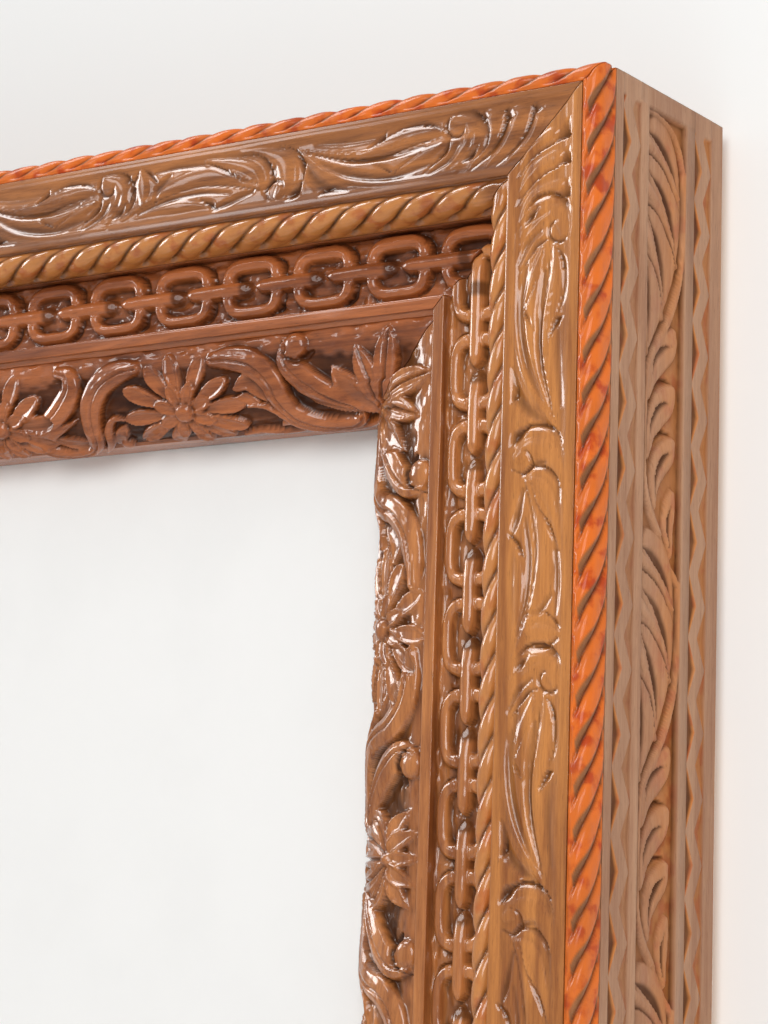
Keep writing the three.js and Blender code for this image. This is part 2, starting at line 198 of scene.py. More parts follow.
class Relief:
    """Height of the carving over a grid of places, built up stroke by stroke."""

    WALL = 0.65
    GOUGE_MIDDLE = 0.54
    GOUGE_CURVE = 1.3
    SWELL_EDGE = 0.35
    ROUND_EDGE = 0.45
    PETAL_MIDDLE = 0.66
    LEAF_MIDDLE = 0.7
    SCROLL_EDGE = 0.55
    RIB = 1.25
    RIB_WIDTH = 0.62
    RIB_RISE = 0.85
    RIB_GROOVE = 1.2
    RIB_OFFSET = 0.15
    FULL_RIB_WIDTH = 3.0

    def __init__(self, u: Grid, v: Grid, ground: Grid, wall: float = WALL) -> None:
        """Starts from the ground's height at each place.

        Args:
            u: Distance along the side of each place on the grid.
            v: Distance across the band.
            ground: Height of the ground there.
            wall: Width of the slope at the edge of a raised form.
        """
        self.wall = wall
        self.u = u
        self.v = v
        self.height = ground.copy()
        self.cuts = np.zeros_like(ground)

    def take(self, index: Grid, deep: Grid) -> None:
        """Takes material away at some places, and remembers how much."""
        self.height.flat[index] -= deep
        self.cuts.flat[index] = np.maximum(self.cuts.flat[index], deep)

    def lay(self, stroke: Stroke) -> None:
        """Carves one stroke over what is there.

        Args:
            stroke: The form to carve.
        """
        if stroke.form is Form.CHIP:
            self.chip(stroke)
            return
        line = stroke.line()
        reach = line[:, 2].max()
        low = line[:, :2].min(axis=0) - reach
        high = line[:, :2].max(axis=0) + reach
        near = (self.u > low[0]) & (self.u < high[0]) & (self.v > low[1]) & (self.v < high[1])
        index = np.flatnonzero(near)
        if index.size == 0:
            return
        place = np.column_stack([self.u.flat[index], self.v.flat[index]])
        start = line[:-1]
        step = line[1:] - start
        offset = place[:, None, :] - start[None, :, :2]
        length = np.maximum((step[:, :2] ** 2).sum(axis=1), 1e-9)
        t = np.clip((offset * step[None, :, :2]).sum(axis=2) / length, 0.0, 1.0)
        distance = np.sqrt(((offset - t[:, :, None] * step[None, :, :2]) ** 2).sum(axis=2))
        width = start[:, 2] + t * step[:, 2]
        best = np.argmax(width - distance, axis=1)
        rows = np.arange(index.size)
        distance, width, t = distance[rows, best], width[rows, best], t[rows, best]
        inside = width - distance
        kept = inside > 0.0
        index, best, rows = index[kept], best[kept], rows[kept]
        distance, width, t, inside = distance[kept], width[kept], t[kept], inside[kept]
        rise = start[best, 3] + t * step[best, 3]
        away = offset[rows, best]
        turn = step[best, 0] * away[:, 1] - step[best, 1] * away[:, 0]
        across = stroke.hand * np.sign(turn) * distance
        share = np.clip(distance / width, 0.0, 1.0)
        current = self.height.flat[index]
        if stroke.form is Form.CUT:
            self.take(index, rise * (1.0 - share))
            return
        if stroke.form is Form.HOLLOW:
            self.height.flat[index] -= rise * (1.0 - share**2) ** 2
            return
        if stroke.form is Form.GOUGE:
            slope = np.clip(self.GOUGE_MIDDLE + 0.5 * across / width, 0.0, 1.0)
            self.take(index, rise * slope**self.GOUGE_CURVE)
            return
        if stroke.form is Form.SWELL:
            crown = self.SWELL_EDGE + (1 - self.SWELL_EDGE) * np.sqrt(1.0 - share**2)
            self.height.flat[index] = np.maximum(current, rise * crown)
            return
        body = self.profile(stroke.form, rise, share, across, width)
        edge = smooth(0.0, self.wall, inside)
        self.height.flat[index] = current * (1.0 - edge) + body * edge
        self.cuts.flat[index] *= 1.0 - edge

    def chip(self, stroke: Stroke) -> None:
        """Takes out a three-cornered chip, deepest at its middle corner.

        Args:
            stroke: The chip: its three corners, and its depth as the first height.
        """
        (au, av, _), (bu, bv, _), (cu, cv, _) = stroke.points
        area = (bu - au) * (cv - av) - (cu - au) * (bv - av)
        second = ((self.u - au) * (cv - av) - (cu - au) * (self.v - av)) / area
        third = ((bu - au) * (self.v - av) - (self.u - au) * (bv - av)) / area
        inside = (second > 0.0) & (third > 0.0) & (second + third < 1.0)
        index = np.flatnonzero(inside)
        self.take(index, stroke.rise[0] * second.flat[index])

    def profile(self, form: Form, rise: Grid, share: Grid, across: Grid, width: Grid) -> Grid:
        """Height of a form across its width.

        Args:
            form: Kind of form.
            rise: Full height at each place.
            share: Distance from the middle as a share of the half width.
            across: Signed distance from the middle.
            width: Half width at each place.

        Returns:
            The height at each place.
        """
        crown = np.sqrt(1.0 - share**2)
        if form is Form.ROUND:
            return rise * (self.ROUND_EDGE + (1 - self.ROUND_EDGE) * crown)
        if form is Form.PETAL:
            return rise * (self.PETAL_MIDDLE + (1 - self.PETAL_MIDDLE) * smooth(0.3, 0.95, share))
        middle = across if form is Form.LEAF else across - self.RIB_OFFSET * width
        ribs = self.RIB_RISE * np.exp(-(((np.abs(middle) - self.RIB) / self.RIB_WIDTH) ** 2))
        ribs = ribs - self.RIB_GROOVE * np.exp(-((middle / self.RIB_WIDTH) ** 2))
        ribs = ribs * np.clip(width / self.FULL_RIB_WIDTH, 0.0, 1.0)
        if form is Form.LEAF:
            return rise * (self.LEAF_MIDDLE + (1 - self.LEAF_MIDDLE) * share**2) + ribs
        return rise * (self.SCROLL_EDGE + (1 - self.SCROLL_EDGE) * crown) + ribs


def stem(*points: Point, rise: Heights) -> Stroke:
    """A rounded stem, lobe or petal."""
    return Stroke(Form.ROUND, points, rise)


def leaf(*points: Point, rise: Heights) -> Stroke:
    """A gouged leaf with a double midrib."""
    return Stroke(Form.LEAF, points, rise)


def petal(*points: Point, rise: Heights) -> Stroke:
    """A hollow petal or leaf with raised edges."""
    return Stroke(Form.PETAL, points, rise)


def ribbed(*points: Point, rise: Heights, hand: int = 1) -> Stroke:
    """A rounded scroll with a double rib, a little to one side."""
    return Stroke(Form.RIBBED, points, rise, hand)


def gouge(*points: Point, deep: Heights, hand: int = 1) -> Stroke:
    """A cut that slopes down from one side to a crisp wall on the other."""
    return Stroke(Form.GOUGE, points, deep, hand)


def cut(*points: Point, deep: Heights) -> Stroke:
    """A V-shaped cut of varying width and depth."""
    return Stroke(Form.CUT, points, deep)


def hollow(*points: Point, deep: Heights) -> Stroke:
    """A broad soft hollow."""
    return Stroke(Form.HOLLOW, points, deep)


def swell(*points: Point, rise: Heights) -> Stroke:
    """A rounded body that merges into the ground beside it."""
    return Stroke(Form.SWELL, points, rise)


def chip(
    start: tuple[float, float], deepest: tuple[float, float], end: tuple[float, float], deep: float
) -> Stroke:
    """A three-cornered chip, deepest at its middle corner."""
    return Stroke(Form.CHIP, ((*start, 0.0), (*deepest, 0.0), (*end, 0.0)), (deep,))


def ball(u: float, v: float, radius: float, rise: float) -> Stroke:
    """A round boss."""
    return Stroke(Form.ROUND, ((u, v, radius), (u + 0.2, v, radius)), (rise, rise))


@dataclass(frozen=True)
class Side:
    """One of the frame's four sides, drawn as the top side and turned about the depth axis.

    The reach is the distance from the frame's middle to the side's outer face, and the gap is the joint's.
    """

    name: str
    angle: float
    length: float
    reach: float
    middle: float
    depth: float
    gap: float = 0.3

    @property
    def way(self) -> Way:
        """Direction of the grain."""
        return Way.ACROSS if self.name in ("top", "bottom") else Way.UPRIGHT

    @property
    def half(self) -> float:
        """Half the outer length."""
        return self.length / 2

    def end(self, inset: Grid) -> Grid:
        """Distance from the middle of the side to its mitre at an inset."""
        return self.half - inset - self.gap * math.sqrt(0.5)

    def from_corner(self, x: Grid) -> Grid:
        """Distance from the nearer outer corner, for carving that is mirrored about the middle."""
        return self.half - np.abs(x)

    def from_start(self, x: Grid) -> Grid:
        """Distance from the corner where the ropes start, for carving that runs one way."""
        return self.half - x if self.way is Way.ACROSS else self.half + x

    def placed(self, x: Grid, inset: Grid, depth: Grid) -> Grid:
        """Places in the row frame, in metres.

        Args:
            x: Distances along the side from its middle, in millimetres.
            inset: Distances in from the outer face.
            depth: Distances behind the front plane.

        Returns:
            One row of three coordinates for each place.
        """
        z = self.reach - inset
        across = x * math.cos(self.angle) + z * math.sin(self.angle)
        up = z * math.cos(self.angle) - x * math.sin(self.angle) + self.middle
        return np.stack([across, depth - self.depth, up], axis=-1) * MM


Carving = Callable[[Grid, Grid], "Carved"]


@dataclass
class Carved:
    """What carving does to a band: height out of its surface, slide along it, a mask of painted shade with
    some pooled varnish, and a stain mask.
    """

    height: Grid
    pooling_and_shade: Grid | float = 0.0
    stain: Grid | float = 0.0
    slide: Grid | float = 0.0


@dataclass
class Span:
    """Rows of places across part of a board's outline, and the carving on them."""

    inset: Grid
    depth: Grid
    out: Grid
    v: Grid
    carve: Carving | None = None


def plain(*points: tuple[float, float], support: float = 0.35) -> Span:
    """Uncarved rows through the given places, with support rows close to each.

    Args:
        points: Inset and depth of each corner.
        support: Distance of the support rows from the corners.

    Returns:
        The rows.
    """
    knots = np.array(points, float)
    rows = [knots[0]]
    for start, end in zip(knots[:-1], knots[1:]):
        span = end - start
        length = float(np.hypot(*span))
        if length > 4 * support:
            rows.append(start + span * (support / length))
            rows.append(end - span * (support / length))
        rows.append(end)
    made = np.array(rows)
    zero = np.zeros(len(made))
    return Span(made[:, 0], made[:, 1], np.zeros((len(made), 2)), zero)


def band(points: Grid, out: Grid, v: Grid, carve: Carving) -> Span:
    """Carved rows at the given places."""
    return Span(points[:, 0], points[:, 1], out, v, carve)


class Board:
    """A closed mitred board swept along its side, with carved bands on its outline."""

    def __init__(
        self, side: Side, spans: list[Span], step: float, zone: float, running: bool = False
    ) -> None:
        """Joins the spans into one outline.

        Args:
            side: The side that the board belongs to.
            spans: Parts of the outline, in order round the section.
            step: Distance between columns.
            zone: Length at each end over which the columns close up to the mitre.
            running: Whether the carving runs one way along the whole side.
        """
        self.side = side
        self.spans = spans
        self.step = step
        self.zone = zone
        self.running = running

    def columns(self, inset_left: Grid, inset_right: Grid, base: Grid) -> Grid:
        """Distance along the side of each place, row by row, with the row ends on the mitres.

        Args:
            inset_left: Inset of each row at its left end.
            inset_right: Inset at its right end.
            base: Even columns, from one end to the other.

        Returns:
            The distances from the middle of the side.
        """
        outer = base[-1]
        inner = outer - self.zone
        rows = []
        for left, right in zip(inset_left, inset_right):
            ends = [-float(self.side.end(left)), -inner, inner, float(self.side.end(right))]
            rows.append(np.interp(base, [-outer, -inner, inner, outer], ends))
        return np.array(rows)

    def build(self, name: str) -> bpy.types.Object:
        """Makes the mesh object.

        Args:
            name: Name of the piece.

        Returns:
            The new object, in the row frame.
        """
        inset = np.concatenate([s.inset for s in self.spans])
        outer = float(self.side.end(inset.min()))
        count = int(2 * outer / self.step) + 1
        base = np.linspace(-outer, outer, count)
        x = self.columns(inset, inset, base)
        u = self.side.from_start(x) if self.running else self.side.from_corner(x)
        insets, depths, pooling_and_shade, stain = [], [], [], []
        row = 0
        for span in self.spans:
            n = len(span.inset)
            shape = (n, count)
            s = np.repeat(span.inset[:, None], count, axis=1)
            d = np.repeat(span.depth[:, None], count, axis=1)
            if span.carve is None:
                pooling_and_shade.append(np.zeros(shape))
                stain.append(np.zeros(shape))
            else:
                carved = span.carve(u[row:row + n], np.repeat(span.v[:, None], count, axis=1))
                s = s + span.out[:, :1] * carved.height - span.out[:, 1:] * carved.slide
                d = d + span.out[:, 1:] * carved.height - span.out[:, :1] * carved.slide
                pooling_and_shade.append(np.broadcast_to(carved.pooling_and_shade, shape))
                stain.append(np.broadcast_to(carved.stain, shape))
            insets.append(s)
            depths.append(d)
            row += n
        s = np.vstack(insets)
        d = np.vstack(depths)
        x = self.columns(s[:, 0], s[:, -1], base)
        made = closed_sweep(name, self.side.placed(x, s, d))
        # The pooling-and-shade mask darkens the colour: painted shade in hollows, cuts and grooves, with some
        # varnish pooled there.
        set_mask(made, "pooling_and_shade", np.vstack(pooling_and_shade).ravel())
        set_mask(made, "stain", np.vstack(stain).ravel())
        return made


def closed_sweep(name: str, places: Grid) -> bpy.types.Object:
    """Closed mesh through rows of places whose first and last row meet, with flat ends.

    Args:
        name: Name of the piece.
        places: Coordinates, by row and column.

    Returns:
        The new object.
    """
    rows, columns, _ = places.shape
    index = np.arange(rows * columns).reshape(rows, columns)
    following = np.roll(index, -1, axis=0)
    around = [index[:, :-1], index[:, 1:], following[:, 1:], following[:, :-1]]
    quads = np.stack(around, axis=-1).reshape(-1, 4)
    corners = places.reshape(-1, 3)
    a, b, c, d = (corners[quads[:, k]] for k in range(4))
    volume = np.einsum("ij,ij->", a, np.cross(b, c)) + np.einsum("ij,ij->", a, np.cross(c, d))
    caps = [index[:, 0], index[::-1, -1]]
    if volume < 0:
        quads = quads[:, ::-1]
        caps = [cap[::-1] for cap in caps]
    return mesh_object(name, corners, [*quads.tolist(), *[cap.tolist() for cap in caps]], flat=len(caps))


def mesh_object(name: str, corners: Grid, faces: list[list[int]], flat: int = 0) -> bpy.types.Object:
    """Links a mesh of the given corners and faces.

    Args:
        name: Name of the piece.
        corners: Coordinates in metres.
        faces: Corner indices of each face.
        flat: Number of faces at the end of the list that are shaded flat.

    Returns:
        The new object.
    """
    mesh = bpy.data.meshes.new(name)
    mesh.from_pydata(corners.tolist(), [], faces)
    shade = np.ones(len(faces), bool)
    if flat:
        shade[-flat:] = False
    mesh.polygons.foreach_set("use_smooth", shade)
    mesh.update()
    made = bpy.data.objects.new(name, mesh)
    bpy.context.scene.collection.objects.link(made)
    return made


def set_mask(piece: bpy.types.Object, name: str, values: Grid) -> None:
    """Stores a mask on a piece's points, for its material."""
    mask = piece.data.attributes.new(name, "FLOAT", "POINT")
    mask.data.foreach_set("value", np.clip(values, 0.0, 1.0).astype(np.float32))


HOLLOW_REACHES = ((2, 0.5), (6, 0.5), (14, 0.35))


def hollows(height: Grid, deep: float) -> Grid:
    """Mask of the places that lie lower than what is round them, used to paint shade into hollows.

    Args:
        height: Height of the carving.
        deep: Height difference at which the mask is full.

    Returns:
        Values from 0 to 1.
    """
    lower = sum(weight * (softened(height, reach) - height) for reach, weight in HOLLOW_REACHES)
    return np.clip(lower / deep, 0.0, 1.0)


@dataclass
class Moulding:
    """Sizes across a side, in millimetres, shared by the boards of all four sides."""

    depth: float = 100.0
    rim: float = 7.5
    gap: float = 0.3
    rope_rounding: float = 5.0
    rope_end: float = 12.9
    strip_width: float = 1.2
    strip_drop: float = 0.3
    frieze_thickness: float = 16.5
    small_rope: float = 40.0
    small_rope_width: float = 10.4
    small_rope_height: float = 8.0
    small_rope_quirk: float = 3.0
    chain: float = 50.4
    chain_recess: float = 7.2
    fillet: float = 79.0
    quirk: float = 84.0
    quirk_drop: float = 2.2
    ovolo: float = 85.3
    ovolo_width: float = 39.7
    ovolo_drop: float = 25.0
    lip: float = 14.0
    lap: float = 6.0
    back: float = 65.6

    @property
    def board(self) -> float:
        """Inset of the boards inside the rim plank."""
        return self.rim + self.gap

    @property
    def sight_front(self) -> float:
        """Depth of the sight board's front."""
        return self.frieze_thickness + self.gap

    @property
    def chain_ground(self) -> float:
        """Depth of the ground behind the chain."""
        return self.sight_front + self.chain_recess

    @property
    def ovolo_front(self) -> float:
        """Depth where the ovolo starts."""
        return self.sight_front + self.quirk_drop

    @property
    def sight_edge(self) -> float:
        """Depth of the sight edge."""
        return self.ovolo_front + self.ovolo_drop

    @property
    def sight(self) -> float:
        """Inset of the sight edge."""
        return self.ovolo + self.ovolo_width


MOULDING = Moulding()


@dataclass
class RimRope:
    """The roped front arris of a rim plank."""

    pitch: float = 16.1
    slant: float = 5.8
    end_sweep: float = 5.0
    start: float = 10.0
    groove: float = 2.3
    band_start: float = 12.3
    row_step: float = 0.6
    step: float = 0.8
    zone: float = 60.0
    wander: Unevenness = Unevenness(11, 0.5, 19.0, 30.0)
    tools: Unevenness = Unevenness(12, 0.12, 6.0, 3.0)

    def path(self) -> tuple[Grid, Grid, Grid]:
        """Places, outward directions and distances of the rows, from the side face round to the front.

        Returns:
            The places as inset and depth, the directions, and the distances.
        """
        radius = MOULDING.rope_rounding
        flat = MOULDING.rope_end - radius
        arc = radius * math.pi / 2
        front = MOULDING.rim - MOULDING.strip_width - radius
        total = flat + arc + front
        distance = np.linspace(0.0, total, int(total / self.row_step) + 1)
        angle = np.clip((distance - flat) / radius, 0.0, math.pi / 2)
        inset = radius * (1 - np.cos(angle)) + np.clip(distance - flat - arc, 0.0, None)
        depth = radius * (1 - np.sin(angle)) + np.clip(flat - distance, 0.0, None)
        out = np.column_stack([-np.cos(angle), -np.sin(angle)])
        return np.column_stack([inset, depth]), out, distance - (MOULDING.rope_end - self.band_start)

    def carve(self, u: Grid, v: Grid) -> Carved:
        """Strands of the rope, with painted shade in their grooves.

        Args:
            u: Distances along the side from the corner.
            v: Distances across the band.

        Returns:
            The carving at each place.
        """
        reach = float(v.max())
        along = np.clip(v, 0.0, None)
        sweep = self.slant * np.sqrt(along) + self.end_sweep * (along / reach) ** 6
        phase = np.mod((u - sweep - self.start + self.wander.at(u, v)) / self.pitch, 1.0)
        lobe = np.abs(2 * phase - 1) ** 3.0
        fade = smooth(-0.3, 1.2, v) * (1 - 0.6 * smooth(reach - 1.5, reach, v))
        height = -self.groove * lobe * fade + self.tools.at(u, v) - self.tools.rise
        worn = smooth(0.66, 0.77, phase) * (1 - 0.3 * smooth(0.97, 1.0, phase))
        stain = (1 - worn) * smooth(-0.6, 0.3, v)
        stain = np.maximum(stain, smooth(reach - 1.2, reach - 0.6, v))
        # The second mask is painted shade in the grooves between the strands; the worn band beside each
        # groove is unstained wood.
        return Carved(height, smooth(0.4, 1.0, lobe) * fade, stain)

    def stained(self, u: Grid, v: Grid) -> Carved:
        """Plain faces in the rope's colour."""
        return Carved(np.zeros_like(u + v), stain=1.0)

    def build(self, side: Side) -> bpy.types.Object:
        """Makes the roped arris of one side.

        Args:
            side: The side that it belongs to.

        Returns:
            The new piece.
        """
        points, out, distance = self.path()
        rim = MOULDING.rim
        strip = rim - MOULDING.strip_width
        inner = plain(
            (strip + 0.1, MOULDING.strip_drop),
            (rim - 0.15, MOULDING.strip_drop),
            (rim, MOULDING.strip_drop + 0.2),
            (rim, MOULDING.rope_end),
            (0.6, MOULDING.rope_end),
        )
        inner.carve = self.stained
        spans = [band(points, out, distance, self.carve), inner]
        return Board(side, spans, self.step, self.zone, True).build(f"rim_rope_{side.name}")


@dataclass
class RimPlank:
    """The outer plank behind its rope: zigzags and a panel of scrolling leaves."""

    step: float = 0.75
    zone: float = 60.0
    tooth: float = 25.2
    first_tooth: float = 14.0
    first_rear_tooth: float = 35.0
    front_teeth: float = 18.5
    rear_teeth: float = 76.0
    ribbon: float = 7.0
    tooth_reach: float = 6.6
    front_cut: float = 0.95
    rear_cut: float = 0.16
    wall: float = 0.4
    panel_start: float = 38.5
    panel_end: float = 69.5
    panel_sunk: float = 3.0
    deepest: float = 1.4
    panel_first: float = 9.0
    unit: float = 163.0
    row_step: float = 0.7
    tools: Unevenness = Unevenness(21, 0.1, 2.2, 1.6)
    waves: Unevenness = Unevenness(22, 0.14, 9.0, 7.0)

    def zigzag(self, base: float, first: float, seed: int) -> Span:
        """Rows of a zigzag ribbon whose notches start at a base line.

        Args:
            base: Depth of the front base line.
            first: Place of the first peak from the corner.
            seed: Seed of the hand-made unevenness.

        Returns:
            The rows, which slide to follow the ribbon's edges.
        """
        end = base + 2 * self.tooth_reach + 1.0
        keys = np.array([-0.04, 0.0, 0.25, 0.6, 0.93, 1.0, 1.06, 1.94, 2.0, 2.07, 2.5, 3.0, 3.05])

        def carve(u: Grid, v: Grid) -> Carved:
            """Notches in front of the ribbon, and the shallow cut behind it, with painted shade in both.

            Args:
                u: Distances along the side from the corner.
                v: Distances across the band.

            Returns:
                The carving at each place.
            """
            wobble = Unevenness(seed, 1.3, 41.0, 1.0).at(u, np.zeros_like(u))
            wave = np.abs(np.mod((u + wobble - first) / self.tooth, 1.0) * 2 - 1)
            near = base + self.tooth_reach * (1 - wave)
            far = near + self.ribbon
            far = np.minimum(far, end)
            front = base + (near - base) * np.clip(v, 0.0, 1.0)
            middle = near + (far - near) * np.clip(v - 1.0, 0.0, 1.0)
            rear = far + (end - far) * np.clip(v - 2.0, 0.0, 1.0)
            depth = np.where(v <= 1.0, front, np.where(v <= 2.0, middle, rear))
            carved = smooth(8.4, 9.4, u)
            in_front = ((v >= 0.0) & (v < 1.0)) * carved
            in_rear = ((v > 2.0) & (v <= 3.0)) * carved
            dip = np.interp(v, [0.0, 0.35, 0.93], [0.3, 1.0, 0.35])
            open_front = smooth(0.0, 2.2, near - base)
            rear_wall = self.wall * smooth(0.0, 1.5, end - far)
            notch = -self.front_cut * dip * open_front * in_front
            shallow = -(rear_wall + self.rear_cut * (depth - far)) * in_rear
            height = notch + shallow
            # Painted shade: dark at the base of each notch, fading towards its point, and a little in the cut
            # behind.
            dark = 1 - smooth(0.62, 0.96, v + Unevenness(seed + 5, 0.12, 5.0, 1.0).at(u, v))
            pooling_and_shade = 0.97 * dark * open_front * in_front + 0.3 * smooth(0.3, 1.2, -shallow)
            strength = 0.8 if base > self.panel_start else 0.4
            stain = np.clip(-notch / 0.25, 0.0, 1.0) + strength * np.clip(-shallow / 0.25, 0.0, 1.0)
            return Carved(height, pooling_and_shade, np.clip(stain, 0, 1), depth - base)

        count = len(keys)
        out = np.column_stack([-np.ones(count), np.zeros(count)])
        return Span(np.zeros(count), np.full(count, base), out, keys, carve)

    def leaves(self, half: float) -> list[Stroke]:
        """Strokes of the leaf panel, from the corner to the middle of the side.

        Args:
            half: Half the length of the side.

        Returns:
            The strokes, lowest first.
        """
        top = self.panel_sunk
        low = 0.84 * top
        rising = (low, top, top, top)
        ridge = (top, top, 0.95 * top)
        edge = (1.3, 1.1, 1.0, 0.8, 0.3)
        scooped = (0.8, 1.6, 1.8, 1.3, 0.4)
        spread = [
            stem((16, 46, 6.8), (24, 51, 12.4), (36, 53, 14.2), (52, 53, 14.2), (67, 51, 12.6),
                 (81, 47.8, 9.2), (93, 44.6, 5.2), (103, 41.6, 1.6), rise=(low, low)),
            swell((21, 38, 2.6), (25.6, 46.5, 2.2), (31, 54, 1.9), (39, 64.5, 1.0), rise=ridge),
            swell((39, 38, 3.2), (45.4, 48, 2.3), (54, 55.4, 1.8), (67, 63.2, 1.0), rise=ridge),
            swell((56, 38, 3.4), (65.6, 45.2, 2.2), (76, 49.4, 1.7), (90, 52.4, 0.9), rise=ridge),
            swell((68, 38.6, 1.6), (86, 39.0, 1.3), (106, 40.2, 1.0), rise=(top, top, top)),
        ]
        edges = [
            gouge((26.2, 38, 0.6), (26.4, 44, 1.1), (30.0, 52, 1.2), (36.5, 60, 1.1), (44, 66.6, 0.3),
                  deep=edge, hand=-1),
            gouge((45.6, 38, 0.6), (47.4, 46, 1.1), (54, 54.6, 1.2), (62, 61, 1.1), (73, 65.2, 0.3),
                  deep=edge, hand=-1),
            gouge((65.4, 38, 0.6), (68.2, 44, 1.1), (75, 49.2, 1.2), (85, 52.2, 1.0), (96, 51.8, 0.3),
                  deep=(1.3, 1.1, 0.9, 0.7, 0.3), hand=-1),
        ]
        gouges = [
            gouge((17.2, 40.4, 0.5), (18.9, 47.4, 2.8), (23.6, 55.2, 3.3), (29.8, 61.2, 2.2),
                  (34.6, 63.4, 0.3), deep=scooped, hand=-1),
            gouge((33.2, 41.4, 0.5), (38.2, 50.8, 2.8), (46.6, 57.8, 3.3), (54.8, 61.8, 2.0),
                  (60.8, 62.2, 0.3), deep=scooped, hand=-1),
            gouge((51.2, 41.8, 0.5), (58.6, 47.6, 2.6), (68.4, 51.8, 3.0), (77, 53.8, 1.8), (83.4, 53.8, 0.3),
                  deep=(0.8, 1.5, 1.7, 1.2, 0.4), hand=-1),
            gouge((71.6, 41.3, 0.5), (79, 42.5, 2.1), (90, 42.7, 2.2), (101, 41.5, 0.3),
                  deep=(0.9, 1.6, 1.6, 0.4), hand=-1),
        ]
        rounded = [
            stem((94, 62.4, 3.2), (99.4, 58.8, 6.6), (104.6, 52.4, 7.2), (112.6, 46.2, 4.8), (123, 42, 1.6),
                 rise=rising),
            stem((117, 62, 3.4), (121.6, 57.8, 6.8), (126.6, 51.2, 7.2), (135, 45.4, 4.8), (146, 42, 1.6),
                 rise=rising),
            stem((137.6, 62.4, 3.2), (142.2, 58.6, 6.2), (147.4, 52.6, 6.4), (156, 48.4, 3.8), (165, 48, 1.4),
                 rise=rising),
            stem((157.6, 63, 2.8), (163.6, 61, 4.8), (172, 60, 4.4), (182, 62, 1.4), rise=rising),
        ]
        slits = [
            gouge((113.4, 61.6, 0.4), (114.2, 54.6, 1.5), (119, 47.4, 1.5), (128.5, 42.6, 0.3),
                  deep=(2.2, 2.6, 2.4, 0.8), hand=-1),
            gouge((134, 61.6, 0.4), (134.8, 54.4, 1.5), (140.4, 47.2, 1.5), (151, 43.2, 0.3),
                  deep=(2.2, 2.6, 2.4, 0.8), hand=-1),
            gouge((99.4, 60.6, 0.4), (102.6, 53.2, 2.0), (107.6, 47.8, 1.6), (114.6, 44.6, 0.3),
                  deep=(0.5, 1.4, 1.2, 0.4), hand=-1),
            gouge((122.2, 59.2, 0.4), (125.4, 51.6, 2.0), (131.6, 46.2, 1.6), (139.4, 43.6, 0.3),
                  deep=(0.5, 1.4, 1.2, 0.4), hand=-1),
            gouge((141.4, 60.6, 0.4), (145.6, 54.4, 1.9), (152, 50, 1.5), (160, 48.6, 0.3),
                  deep=(0.6, 2.4, 2.0, 0.4), hand=-1),
            gouge((162, 61.4, 0.3), (170, 59.4, 1.7), (179, 61, 0.3), deep=(0.5, 2.2, 0.4), hand=-1),
        ]
        vine = [(28, 68.2, 1.7), (50, 68.6, 1.7), (68, 67.2, 2.0), (80, 63, 2.4), (90, 57.4, 2.4)]
        vine += [(99, 50.2, 2.4), (107, 43.8, 2.2), (116, 41, 1.7), (138, 40.2, 1.4), (153, 40.6, 1.7)]
        vine += [(164, 44.4, 2.2), (173, 51.5, 2.3), (181, 58, 2.3), (188, 64, 2.0), (193, 68.2, 1.7)]
        start = [(9.8, 39, 1.3), (9.9, 48, 1.4), (12.6, 57, 1.5), (18.6, 64.2, 1.5), (28, 68.3, 1.5)]
        made = []
        for k in range(int(half / self.unit) + 1):
            shift = k * self.unit
            made.extend(stroke.moved(shift) for stroke in [*spread, *edges, *gouges, *rounded, *slits])
            made.append(stem(*vine, rise=(top + 0.1, top + 0.1)).moved(shift))
        made.append(stem(*start, rise=(top + 0.1, top + 0.1)))
        return made

    def panel(self, side: Side) -> Span:
        """Rows of the sunk panel with its leaves.

        Args:
            side: The side that it belongs to.

        Returns:
            The rows.
        """
        count = int((self.panel_end - self.panel_start) / self.row_step) + 1
        depth = np.linspace(self.panel_start, self.panel_end, count)
        depth = np.concatenate([[depth[0] - 0.3], depth, [depth[-1] + 0.3]])
        out = np.column_stack([-np.ones(len(depth)), np.zeros(len(depth))])

        def carve(u: Grid, v: Grid) -> Carved:
            """Leaves in the sunk panel, with painted shade in their hollows and gouges.

            Args:
                u: Distances along the side from the corner.
                v: Distances across the band.

            Returns:
                The carving at each place.
            """
            inside = smooth(0.0, 0.7, v - self.panel_start) * smooth(0.0, 0.7, self.panel_end - v)
            inside = inside * smooth(self.panel_first - 1.0, self.panel_first, u)
            relief = Relief(u, v, np.full_like(u, 0.8), 1.35)
            for stroke in self.leaves(side.half):
                relief.lay(stroke)
            marks = self.tools.at(u, v) + self.waves.at(u, v)
            height = np.clip(relief.height + marks, -self.deepest, self.panel_sunk - 0.02) - self.panel_sunk
            height = height * inside
            low = smooth(1.6, 2.7, -height)
            # Painted shade in the hollows and gouges; the stain below is the wood's own.
            pooling_and_shade = np.maximum(hollows(height, 1.6), smooth(0.2, 0.85, relief.cuts) * inside)
            golden = 0.15 + 0.45 * smooth(43.0, 62.0, v)
            stain = np.clip(golden * inside + 0.75 * low, 0.0, 1.0)
            return Carved(height, pooling_and_shade, stain)

        points = np.column_stack([np.zeros(len(depth)), depth])
        return band(points, out, depth, carve)

